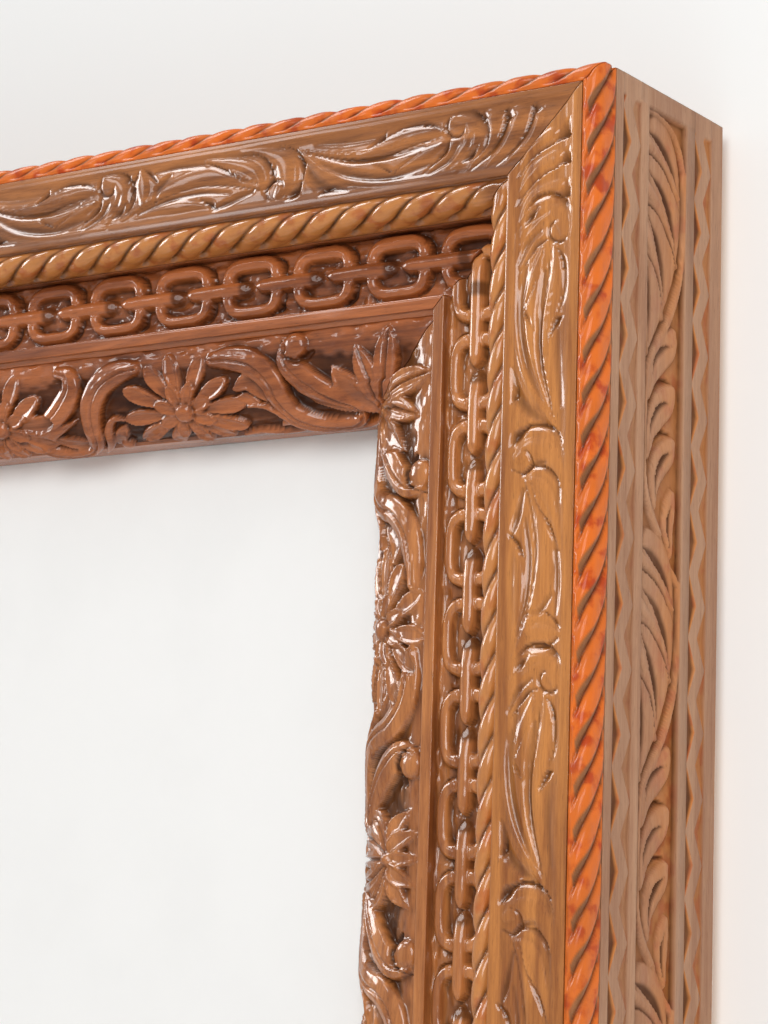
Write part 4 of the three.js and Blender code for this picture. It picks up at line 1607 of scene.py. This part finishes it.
    def palmette(self, u: float) -> list[Stroke]:
        """A palmette that opens towards the outer edge.

        Args:
            u: Place of its middle along the side.

        Returns:
            Its strokes, lowest first.
        """
        made = []
        for lean, tip, wide in ((19, 6.0, 4.4), (10.5, 2.6, 4.2), (0, 1.0, 3.6)):
            for sign in (-1, 1) if lean else (1,):
                root = u + sign * min(1.0, lean)
                middle = u + sign * lean * 0.62
                points = [(root, 18.5, 0.9), (middle, 11.5 + 0.1 * lean, wide), (u + sign * lean, tip, 0.6)]
                made.append(petal(*points, rise=(5.0, 5.3, 4.2)))
        for lean, tip, wide in ((17, 31, 5.4), (9, 44, 5.0), (0, 48, 4.0)):
            for sign in (-1, 1) if lean else (1,):
                middle = u + sign * (lean * 0.7 + min(2.0, lean))
                points = [(u + sign * min(1.0, lean), 17.5, 1.2), (middle, 0.5 * (tip + 19), wide)]
                points.append((u + sign * lean * 0.9, tip, 0.6))
                made.append(leaf(*points, rise=(4.6, 5.0, 3.6)))
        made.append(ball(u, 18.5, 2.8, 5.6))
        return made

    def strokes(self, side: Side) -> list[Stroke]:
        """All strokes from the corner to the middle of a side.

        Args:
            side: The side that it belongs to.

        Returns:
            The strokes, lowest first.
        """
        made = []
        if side.way is Way.ACROSS:
            middle = side.half
            made += [*self.scroll(), *self.crossing(), *self.corner()]
            made += [*self.flower(218, 30.5), *self.flower(middle, 29.5)]
            return made
        shift, turn, palm = -6.0, 206.5, 300.0
        near = [stroke.moved(shift) for stroke in self.scroll()]
        far = [stroke.mirrored(turn) for stroke in near]
        onward = [stroke.mirrored(palm) for stroke in far]
        last = [stroke.mirrored(side.half) for stroke in onward]
        made += [*near, *far, *onward, *last, *self.palmette(palm), *self.corner()]
        made += [*self.flower(209.5, 28.5), *self.flower(side.half, 28.5)]
        return made

    def section(self) -> tuple[Grid, Grid, Grid]:
        """Places, outward directions and arc lengths of the ovolo's rows.

        Returns:
            The places as inset and depth, the directions, and the arc lengths.
        """
        t = np.linspace(0.0, math.pi / 2, self.samples)
        m = MOULDING
        inset = m.ovolo + m.ovolo_width * np.sin(t)
        depth = m.sight_edge - m.ovolo_drop * np.cos(t)
        length = np.concatenate([[0.0], np.cumsum(np.hypot(np.diff(inset), np.diff(depth)))])
        rows = np.linspace(0.0, length[-1], int(length[-1] / self.row_step) + 1)
        angle = np.interp(rows, length, t)
        out = np.column_stack([np.sin(angle) / m.ovolo_width, -np.cos(angle) / m.ovolo_drop])
        out = out / np.linalg.norm(out, axis=1, keepdims=True)
        points = np.column_stack([np.interp(rows, length, inset), np.interp(rows, length, depth)])
        return points, out, rows

    def carve(self, side: Side) -> Carving:
        """Carving of the ovolo, for one side.

        Args:
            side: The side that it belongs to.

        Returns:
            The function that gives the carving at places on that side.
        """

        def relieved(u: Grid, v: Grid) -> Carved:
            """Flowers and scrolls on the ovolo, with painted shade where they lie deep.

            Args:
                u: Distances along the side from the corner.
                v: Distances across the band.

            Returns:
                The carving at each place.
            """
            marks = self.pits.at(u, v) + self.waves.at(u, v)
            relief = Relief(u, v, 2.2 - 1.8 * smooth(5.0, 17.0, v) + marks, 0.95)
            for stroke in self.strokes(side):
                relief.lay(stroke)
            height = np.clip(relief.height + self.tools.at(u, v), 0.0, self.relief - 0.03) - self.relief
            # Painted shade: darker where the ground lies deep, in hollows and in cuts.
            low = smooth(3.4, 5.3, -height)
            pooling_and_shade = 0.85 * low + hollows(height, 1.7) + 0.8 * smooth(0.4, 1.8, relief.cuts)
            pooling_and_shade = np.clip(pooling_and_shade, 0.0, 1.0)
            return Carved(height, pooling_and_shade)

        return relieved

    def build(self, side: Side) -> bpy.types.Object:
        """Makes the relief of one side.

        Args:
            side: The side that it belongs to.

        Returns:
            The new piece.
        """
        points, out, rows = self.section()
        core = points - self.core * out
        back = plain((points[-1][0] - self.core, points[-1][1] + 0.2))
        inner = core[::-4]
        spans = [
            band(points, out, rows, self.carve(side)),
            back,
            Span(inner[:, 0], inner[:, 1], np.zeros((len(inner), 2)), np.zeros(len(inner))),
        ]
        return Board(side, spans, self.step, self.zone).build(f"flower_carving_{side.name}")


def srgb(red: int, green: int, blue: int) -> Colour:
    """Linear colour of a colour given as it looks on a screen, 0 to 255.

    Args:
        red: Red as shown.
        green: Green as shown.
        blue: Blue as shown.

    Returns:
        The linear colour, with full opacity.
    """
    def linear(value: float) -> float:
        """Linear share of one channel."""
        share = value / 255
        return share / 12.92 if share <= 0.04045 else ((share + 0.055) / 1.055) ** 2.4

    return (linear(red), linear(green), linear(blue), 1.0)


class Nodes:
    """Short calls for building one node tree."""

    def __init__(self, tree: bpy.types.NodeTree) -> None:
        """Keeps the tree."""
        self.tree = tree

    def add(self, kind: str, settings: dict | None = None, **inputs: object) -> bpy.types.Node:
        """Adds a node.

        Args:
            kind: Blender's type of the node.
            settings: Properties of the node.
            **inputs: Values or sockets for its inputs, with spaces written as underscores.

        Returns:
            The node.
        """
        node = self.tree.nodes.new(kind)
        for name, value in (settings or {}).items():
            setattr(node, name, value)
        for name, value in inputs.items():
            self.feed(node.inputs[name.replace("_", " ")], value)
        return node

    def feed(self, socket: bpy.types.NodeSocket, value: object) -> None:
        """Links a socket to an input, or sets its value.

        Args:
            socket: The input.
            value: A socket to link, or a value to set.
        """
        if isinstance(value, bpy.types.NodeSocket):
            self.tree.links.new(value, socket)
        else:
            socket.default_value = value

    def math(
        self, operation: str, first: object, second: object = 0.0, clamp: bool = False
    ) -> bpy.types.NodeSocket:
        """Result of a sum of two values.

        Args:
            operation: Blender's name of the sum.
            first: First value.
            second: Second value.
            clamp: Whether the result is kept from 0 to 1.

        Returns:
            The socket that carries the result.
        """
        node = self.add("ShaderNodeMath", {"operation": operation, "use_clamp": clamp})
        self.feed(node.inputs[0], first)
        self.feed(node.inputs[1], second)
        return node.outputs[0]

    def mix(self, share: object, first: object, second: object) -> bpy.types.NodeSocket:
        """Colour between two colours.

        Args:
            share: Share of the second colour.
            first: First colour.
            second: Second colour.

        Returns:
            The socket that carries the result.
        """
        node = self.add("ShaderNodeMix", {"data_type": "RGBA"})
        self.feed(node.inputs[0], share)
        self.feed(node.inputs[6], first)
        self.feed(node.inputs[7], second)
        return node.outputs[2]

    def ranged(
        self, value: object, low: float, high: float, to_low: float, to_high: float
    ) -> bpy.types.NodeSocket:
        """Value carried smoothly from one range to another.

        Args:
            value: The value.
            low: Where its range starts.
            high: Where its range ends.
            to_low: Result at the start.
            to_high: Result at the end.

        Returns:
            The socket that carries the result.
        """
        node = self.add("ShaderNodeMapRange", {"interpolation_type": "SMOOTHSTEP"})
        self.feed(node.inputs["Value"], value)
        for name, number in (("From Min", low), ("From Max", high), ("To Min", to_low), ("To Max", to_high)):
            node.inputs[name].default_value = number
        return node.outputs["Result"]


def new_group(name: str, takes: dict[str, str], gives: dict[str, str]) -> tuple[bpy.types.NodeTree, Nodes]:
    """An empty shader node group with named sockets.

    Args:
        name: Name of the group.
        takes: Socket type of each input.
        gives: Socket type of each output.

    Returns:
        The group and its node calls.
    """
    tree = bpy.data.node_groups.new(name, "ShaderNodeTree")
    for label, kind in takes.items():
        tree.interface.new_socket(label, in_out="INPUT", socket_type=kind)
    for label, kind in gives.items():
        tree.interface.new_socket(label, in_out="OUTPUT", socket_type=kind)
    return tree, Nodes(tree)


class Shared:
    """Node groups that several finishes use."""

    def __init__(self) -> None:
        """Builds the groups."""
        self.grain = self.make_grain()
        self.tone = self.make_tone()

    def make_grain(self) -> bpy.types.NodeTree:
        """Grain of wood along one axis: broad figure, fibres and pores.

        Returns:
            The node group.
        """
        tree, nodes = new_group(
            "wood_grain",
            {"Stretch": "NodeSocketVector"},
            {"Figure": "NodeSocketFloat", "Fibre": "NodeSocketFloat", "Pores": "NodeSocketFloat"},
        )
        start = nodes.add("NodeGroupInput")
        end = nodes.add("NodeGroupOutput")
        place = nodes.add("ShaderNodeTexCoord").outputs["Object"]
        scaled = nodes.add("ShaderNodeVectorMath", {"operation": "MULTIPLY"})
        nodes.feed(scaled.inputs[0], place)
        nodes.feed(scaled.inputs[1], start.outputs["Stretch"])
        vector = scaled.outputs[0]
        figure = nodes.add("ShaderNodeTexNoise", Vector=vector, Scale=1.0, Detail=3.0, Distortion=1.2)
        fibre = nodes.add("ShaderNodeTexNoise", Vector=vector, Scale=9.0, Detail=5.0, Roughness=0.65)
        pores = nodes.add("ShaderNodeTexNoise", Vector=vector, Scale=34.0, Detail=2.0, Roughness=0.5)
        nodes.feed(end.inputs["Figure"], nodes.ranged(figure.outputs[0], 0.35, 0.65, 0.0, 1.0))
        nodes.feed(end.inputs["Fibre"], nodes.ranged(fibre.outputs[0], 0.3, 0.7, 0.0, 1.0))
        nodes.feed(end.inputs["Pores"], nodes.ranged(pores.outputs[0], 0.6, 0.74, 0.0, 1.0))
        return tree

    def make_tone(self) -> bpy.types.NodeTree:
        """Colour of carved wood from its grain, with painted shade and pooled varnish darkening the places
        that lie deep.

        Returns:
            The node group.
        """
        colours = ("Light", "Dark", "Deep", "Stain Colour", "Patch Colour")
        masks = ("Figure", "Fibre", "Pores", "Recess", "Stain")
        takes = {label: "NodeSocketColor" for label in colours}
        takes.update({label: "NodeSocketFloat" for label in masks})
        tree, nodes = new_group("carved_tone", takes, {"Color": "NodeSocketColor"})
        start = nodes.add("NodeGroupInput")
        end = nodes.add("NodeGroupOutput")
        place = nodes.add("ShaderNodeTexCoord").outputs["Object"]
        patches = nodes.add("ShaderNodeTexNoise", Vector=place, Scale=46.0, Detail=4.0).outputs[0]
        figure = nodes.math("MULTIPLY", start.outputs["Figure"], 0.62)
        fibre = nodes.math("MULTIPLY", start.outputs["Fibre"], 0.38)
        share = nodes.math("ADD", figure, fibre, clamp=True)
        wood = nodes.mix(share, start.outputs["Light"], start.outputs["Dark"])
        wood = nodes.mix(nodes.math("MULTIPLY", start.outputs["Pores"], 0.35), wood, start.outputs["Deep"])
        patchy = nodes.ranged(patches, 0.3, 0.7, 0.72, 1.0)
        blotches = nodes.add("ShaderNodeTexNoise", Vector=place, Scale=120.0, Detail=5.0).outputs[0]
        red = nodes.ranged(blotches, 0.48, 0.66, 0.0, 0.8)
        colour = nodes.mix(red, start.outputs["Stain Colour"], start.outputs["Patch Colour"])
        stained = nodes.mix(nodes.math("MULTIPLY", start.outputs["Stain"], patchy), wood, colour)
        # Painted shade with pooled varnish: the deep colour, mixed in by the pooling-and-shade mask and made
        # uneven by patches.
        sunk = nodes.math("MULTIPLY", start.outputs["Recess"], nodes.ranged(patches, 0.25, 0.7, 0.7, 0.95))
        nodes.feed(end.inputs["Color"], nodes.mix(sunk, stained, start.outputs["Deep"]))
        return tree


@dataclass(frozen=True)
class WoodFinish:
    """Colours and gloss of a wooden piece."""

    name: str
    light: Colour
    dark: Colour
    # deep: colour of the pores, and of the painted shade in hollows, cuts and grooves.
    deep: Colour
    stain: Colour
    patches: Colour
    rough: tuple[float, float]
    coat: float
    coat_rough: float
    bump: float = 0.25
    base_gloss: float = 0.05
    recess_coat: float = 0.35
    fine: float = 1.0
    grain_long: float = 5.0
    grain_short: float = 75.0

    def material(self, shared: Shared, way: Way) -> bpy.types.Material:
        """Makes the material for wood whose grain runs one way.

        Args:
            shared: The shared node groups.
            way: Direction of the grain.

        Returns:
            The material.
        """
        made = bpy.data.materials.new(f"{self.name}_{way.value}")
        made.use_nodes = True
        made.node_tree.nodes.clear()
        nodes = Nodes(made.node_tree)
        long, short = self.grain_long * self.fine, self.grain_short * self.fine
        stretch = (long, short, short) if way is Way.ACROSS else (short, short, long)
        grain = nodes.add("ShaderNodeGroup", {"node_tree": shared.grain}, Stretch=stretch)
        pooling_and_shade = nodes.add("ShaderNodeAttribute", {"attribute_name": "pooling_and_shade"}).outputs["Fac"]
        stain = nodes.add("ShaderNodeAttribute", {"attribute_name": "stain"}).outputs["Fac"]
        tone = nodes.add(
            "ShaderNodeGroup", {"node_tree": shared.tone},
            Light=self.light, Dark=self.dark, Deep=self.deep,
            Stain_Colour=self.stain, Patch_Colour=self.patches,
            Figure=grain.outputs["Figure"], Fibre=grain.outputs["Fibre"], Pores=grain.outputs["Pores"],
            Recess=pooling_and_shade, Stain=stain,
        )
        place = nodes.add("ShaderNodeTexCoord").outputs["Object"]
        smears = nodes.add("ShaderNodeTexNoise", Vector=place, Scale=90.0, Detail=4.0).outputs[0]
        rough = nodes.ranged(smears, 0.3, 0.7, *self.rough)
        grit = nodes.add("ShaderNodeTexNoise", Vector=place, Scale=700.0, Detail=2.0).outputs[0]
        fibres = nodes.math("MULTIPLY", grain.outputs["Fibre"], 0.6)
        height = nodes.math("ADD", fibres, nodes.math("MULTIPLY", grit, 0.4))
        bump = nodes.add("ShaderNodeBump", Strength=self.bump, Distance=0.0004, Height=height)
        shader = nodes.add(
            "ShaderNodeBsdfPrincipled",
            Base_Color=tone.outputs["Color"], Roughness=rough, Normal=bump.outputs[0],
            Specular_IOR_Level=self.base_gloss, Coat_Roughness=self.coat_rough,
            Coat_Weight=nodes.ranged(pooling_and_shade, 0.3, 0.95, self.coat, self.recess_coat * self.coat),
        )
        output = nodes.add("ShaderNodeOutputMaterial")
        nodes.feed(output.inputs["Surface"], shader.outputs[0])
        return made


AMBER = srgb(204, 128, 66)
RUST = srgb(190, 92, 42)
RIM_SIDE = WoodFinish(
    "rim_side", light=srgb(186, 144, 114), dark=srgb(158, 114, 88), deep=srgb(74, 42, 26),
    stain=AMBER, patches=RUST, rough=(0.44, 0.62), coat=0.12, coat_rough=0.3,
)
RIM_ROPE = WoodFinish(
    "rim_rope", light=srgb(156, 104, 66), dark=srgb(122, 78, 48), deep=srgb(78, 34, 16),
    stain=srgb(226, 112, 38), patches=srgb(180, 50, 14), rough=(0.34, 0.46), coat=0.3, coat_rough=0.16,
)
FRIEZE_TOP = WoodFinish(
    "frieze_top", light=srgb(182, 114, 60), dark=srgb(112, 62, 28), deep=srgb(54, 28, 14),
    stain=srgb(224, 148, 78), patches=RUST, rough=(0.36, 0.46), coat=0.9, coat_rough=0.13,
)
FRIEZE_SIDE = WoodFinish(
    "frieze_side", light=srgb(204, 132, 66), dark=srgb(136, 76, 34), deep=srgb(70, 38, 18),
    stain=srgb(208, 138, 78), patches=RUST, rough=(0.36, 0.46), coat=0.9, coat_rough=0.13,
)
SIGHT_TOP = WoodFinish(
    "sight_top", light=srgb(182, 104, 56), dark=srgb(112, 56, 27), deep=srgb(40, 20, 12),
    stain=AMBER, patches=RUST, rough=(0.34, 0.44), coat=0.95, coat_rough=0.12,
)
SIGHT_SIDE = WoodFinish(
    "sight_side", light=srgb(202, 130, 72), dark=srgb(136, 76, 38), deep=srgb(56, 30, 16),
    stain=AMBER, patches=RUST, rough=(0.34, 0.44), coat=0.95, coat_rough=0.12,
)
PINE = WoodFinish(
    "batten_pine", light=srgb(222, 190, 140), dark=srgb(196, 154, 100), deep=srgb(120, 84, 50),
    stain=AMBER, patches=RUST, rough=(0.6, 0.75), coat=0.0, coat_rough=0.4,
)
HARDBOARD = WoodFinish(
    "hardboard", light=srgb(150, 112, 76), dark=srgb(132, 96, 62), deep=srgb(90, 62, 40),
    stain=AMBER, patches=RUST, rough=(0.65, 0.8), coat=0.0, coat_rough=0.4, fine=6.0,
)


@dataclass(frozen=True)
class PlainFinish:
    """Colour, metal and roughness of a piece without grain."""

    name: str
    colour: Colour
    worn: Colour
    metallic: float
    rough: tuple[float, float]
    scale: float
    bump: float

    def material(self) -> bpy.types.Material:
        """Makes the material.

        Returns:
            The material.
        """
        made = bpy.data.materials.new(self.name)
        made.use_nodes = True
        made.node_tree.nodes.clear()
        nodes = Nodes(made.node_tree)
        place = nodes.add("ShaderNodeTexCoord").outputs["Object"]
        cloud = nodes.add("ShaderNodeTexNoise", Vector=place, Scale=self.scale, Detail=5.0).outputs[0]
        fine = nodes.add("ShaderNodeTexNoise", Vector=place, Scale=self.scale * 14, Detail=3.0).outputs[0]
        colour = nodes.mix(nodes.ranged(cloud, 0.42, 0.72, 0.0, 1.0), self.colour, self.worn)
        bump = nodes.add("ShaderNodeBump", Strength=self.bump, Distance=0.0002, Height=fine)
        shader = nodes.add(
            "ShaderNodeBsdfPrincipled",
            Base_Color=colour, Metallic=self.metallic, Roughness=nodes.ranged(fine, 0.3, 0.7, *self.rough),
            Normal=bump.outputs[0],
        )
        output = nodes.add("ShaderNodeOutputMaterial")
        nodes.feed(output.inputs["Surface"], shader.outputs[0])
        return made


PANEL = PlainFinish("panel_white", srgb(241, 240, 238), srgb(238, 237, 235), 0.0, (0.7, 0.85), 14.0, 0.12)
BRASS = PlainFinish("brass", srgb(206, 170, 96), srgb(156, 118, 62), 1.0, (0.26, 0.42), 120.0, 0.2)
STEEL = PlainFinish("zinc_steel", srgb(190, 192, 194), srgb(148, 150, 154), 1.0, (0.28, 0.45), 160.0, 0.2)


class Ornament:
    """All carved members of the frame, made and dressed side by side."""

    def __init__(self, shared: Shared) -> None:
        """Makes the woods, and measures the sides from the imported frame.

        Args:
            shared: The shared node groups.
        """
        self.rim_side = {way: RIM_SIDE.material(shared, way) for way in Way}
        self.rim_rope = {way: RIM_ROPE.material(shared, way) for way in Way}
        self.frieze = {Way.ACROSS: FRIEZE_TOP.material(shared, Way.ACROSS)}
        self.frieze[Way.UPRIGHT] = FRIEZE_SIDE.material(shared, Way.UPRIGHT)
        self.sight = {Way.ACROSS: SIGHT_TOP.material(shared, Way.ACROSS)}
        self.sight[Way.UPRIGHT] = SIGHT_SIDE.material(shared, Way.UPRIGHT)
        low, high = CAD_BOX
        width, height = (high.x - low.x) / MM, (high.z - low.z) / MM
        middle = (high.z + low.z) / 2 / MM
        depth = (high.y - low.y) / MM
        turns = (0.0, math.pi / 2, math.pi, -math.pi / 2)
        lengths = (width, height, width, height)
        reaches = (height / 2, width / 2, height / 2, width / 2)
        self.sides = [
            Side(name, turn, length, reach, middle, depth)
            for name, turn, length, reach in zip(SIDE_NAMES, turns, lengths, reaches)
        ]

    def dress(self, piece: bpy.types.Object, material: bpy.types.Material, slot: str, node: str) -> None:
        """Gives a piece its material and body, and hides the solid that it stands for.

        Args:
            piece: The piece.
            material: Its material.
            slot: Not used.
            node: Name of the solid.
        """
        piece.data.materials.append(material)
        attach(piece, BODY)
        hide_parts(node)
        LOG.info("%s: %d faces", piece.name, len(piece.data.polygons))

    def build(self) -> None:
        """Makes every carved member."""
        for side in self.sides:
            way = side.way
            rim, sight = f"rim_plank_{side.name}", f"sight_board_{side.name}"
            self.dress(RimRope().build(side), self.rim_rope[way], "rim_wood", rim)
            self.dress(RimPlank().build(side), self.rim_side[way], "rim_wood", rim)
            self.dress(FriezeBoard().build(side), self.frieze[way], "frieze_wood",
                       f"frieze_board_{side.name}")
            self.dress(SightBoard().build(side), self.sight[way], "sight_wood", sight)
            self.dress(Flowers().build(side), self.sight[way], "sight_wood", sight)


class Back:
    """Panel, backing board, battens and hardware, which keep their solids."""

    def __init__(self, shared: Shared) -> None:
        """Makes the finishes.

        Args:
            shared: The shared node groups.
        """
        pine = {way: PINE.material(shared, way) for way in Way}
        steel, brass = STEEL.material(), BRASS.material()
        self.finishes = {
            "picture_panel": PANEL.material(),
            "backing_board": HARDBOARD.material(shared, Way.ACROSS),
            "back_batten_top": pine[Way.ACROSS],
            "back_batten_bottom": pine[Way.ACROSS],
            "back_batten_left": pine[Way.UPRIGHT],
            "back_batten_right": pine[Way.UPRIGHT],
            "turn_button": brass,
            "button_screw": brass,
            "hanger": steel,
        }

    def dress(self) -> None:
        """Gives each solid that stays its finish."""
        for name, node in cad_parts.items():
            for start, material in self.finishes.items():
                if name.startswith(start):
                    node.data.materials.clear()
                    node.data.materials.append(material)
                    LOG.info("%s: %s", name, material.name)


@dataclass(frozen=True)
class Lamp:
    """A round studio lamp, placed by its direction and distance from the lit corner."""

    name: str
    towards: Point
    distance: float
    size: float
    power: float
    spreads: bool = True


@dataclass
class Studio:
    """Wall, floor, lamps and camera.

    The wall casts no shadow and can't be seen from behind, so the lamp behind it lights the frame's back.
    """

    camera_place: Point = (0.80945, -0.93049, -0.14626)
    camera_ahead: Point = (-0.56506, 0.81039, 0.15485)
    camera_up: Point = (0.06225, -0.14527, 0.98743)
    lens: float = 93.15
    sensor: float = 36.0
    wall_size: float = 8.0
    wall_place: float = 0.009
    air: float = 0.52
    lit: Point = (0.2, -0.08, 0.05)
    lamps: tuple[Lamp, ...] = (
        Lamp("key_lamp", (0.35, -0.85, 0.22), 2.8, 1.6, 45.0),
        Lamp("left_card", (-0.92, -0.28, 0.26), 2.2, 0.9, 24.0, False),
        Lamp("high_card", (-0.5, -0.34, 0.8), 2.2, 1.2, 40.0, False),
        Lamp("strip_card", (-0.6, -0.71, 0.375), 2.2, 0.42, 2.5, False),
        Lamp("back_lamp", (-0.2, 2.28, -0.25), 2.3, 0.6, 28.0),
    )
    floor_height: float = -1.6
    pale: Colour = srgb(246, 247, 246)

    def sheet(self, name: str, corners: list[Point], material: bpy.types.Material) -> None:
        """Adds a flat stage surface.

        Args:
            name: Name of the surface.
            corners: Its four corners.
            material: Its paint.
        """
        made = mesh_object(name, np.array(corners), [[0, 1, 2, 3]], flat=1)
        made.data.materials.append(material)
        made.visible_shadow = name == "studio_floor"

    def paint(self) -> bpy.types.Material:
        """Pale paint that can't be seen from behind.

        Returns:
            The material.
        """
        made = bpy.data.materials.new("studio_paint")
        made.use_nodes = True
        made.node_tree.nodes.clear()
        nodes = Nodes(made.node_tree)
        paint = nodes.add("ShaderNodeBsdfDiffuse", Color=self.pale)
        clear = nodes.add("ShaderNodeBsdfTransparent")
        behind = nodes.add("ShaderNodeNewGeometry").outputs["Backfacing"]
        shown = nodes.add("ShaderNodeMixShader")
        nodes.feed(shown.inputs[0], behind)
        nodes.feed(shown.inputs[1], paint.outputs[0])
        nodes.feed(shown.inputs[2], clear.outputs[0])
        output = nodes.add("ShaderNodeOutputMaterial")
        nodes.feed(output.inputs["Surface"], shown.outputs[0])
        return made

    def lamp(self, lamp: Lamp) -> None:
        """Adds a soft round lamp that looks at the frame's seen corner.

        Args:
            lamp: The lamp's place, size and power.
        """
        light = bpy.data.lights.new(lamp.name, "AREA")
        light.energy = lamp.power
        light.shape = "DISK"
        light.size = lamp.size
        made = bpy.data.objects.new(lamp.name, light)
        bpy.context.scene.collection.objects.link(made)
        ahead = Vector(lamp.towards).normalized()
        made.location = Vector(self.lit) + ahead * lamp.distance
        made.rotation_mode = "QUATERNION"
        made.rotation_quaternion = (-ahead).to_track_quat("-Z", "Y")
        made.visible_diffuse = lamp.spreads

    def build(self) -> None:
        """Makes the whole studio."""
        paint = self.paint()
        half, y, z = self.wall_size / 2, self.wall_place, self.floor_height
        wall = [(-half, y, z), (half, y, z), (half, y, half), (-half, y, half)]
        floor = [(-half, -half, z), (half, -half, z), (half, half, z), (-half, half, z)]
        self.sheet("studio_wall", wall, paint)
        self.sheet("studio_floor", floor, paint)
        for lamp in self.lamps:
            self.lamp(lamp)
        world = bpy.data.worlds.new("studio_air")
        bpy.context.scene.world = world
        world.use_nodes = True
        background = world.node_tree.nodes["Background"]
        background.inputs["Color"].default_value = (1.0, 1.0, 1.0, 1.0)
        background.inputs["Strength"].default_value = self.air
        self.camera()
        bpy.context.scene.view_settings.view_transform = "Standard"

    def camera(self) -> None:
        """Makes the camera at the photograph's viewing angle."""
        data = bpy.data.cameras.new("camera")
        data.lens = self.lens
        data.sensor_width = self.sensor
        data.sensor_fit = "AUTO"
        made = bpy.data.objects.new("camera", data)
        bpy.context.scene.collection.objects.link(made)
        ahead = Vector(self.camera_ahead).normalized()
        up = Vector(self.camera_up).normalized()
        right = ahead.cross(up).normalized()
        up = right.cross(ahead)
        turn = Matrix((right, up, -ahead)).transposed()
        made.matrix_world = Matrix.Translation(Vector(self.camera_place)) @ turn.to_4x4()
        bpy.context.scene.camera = made


def main() -> None:
    """Builds the studio, the carved members and the back."""
    logging.basicConfig(level=logging.INFO, format="%(name)s: %(message)s")
    shared = Shared()
    Studio().build()
    Ornament(shared).build()
    Back(shared).dress()


if __name__ == "__main__":
    main()
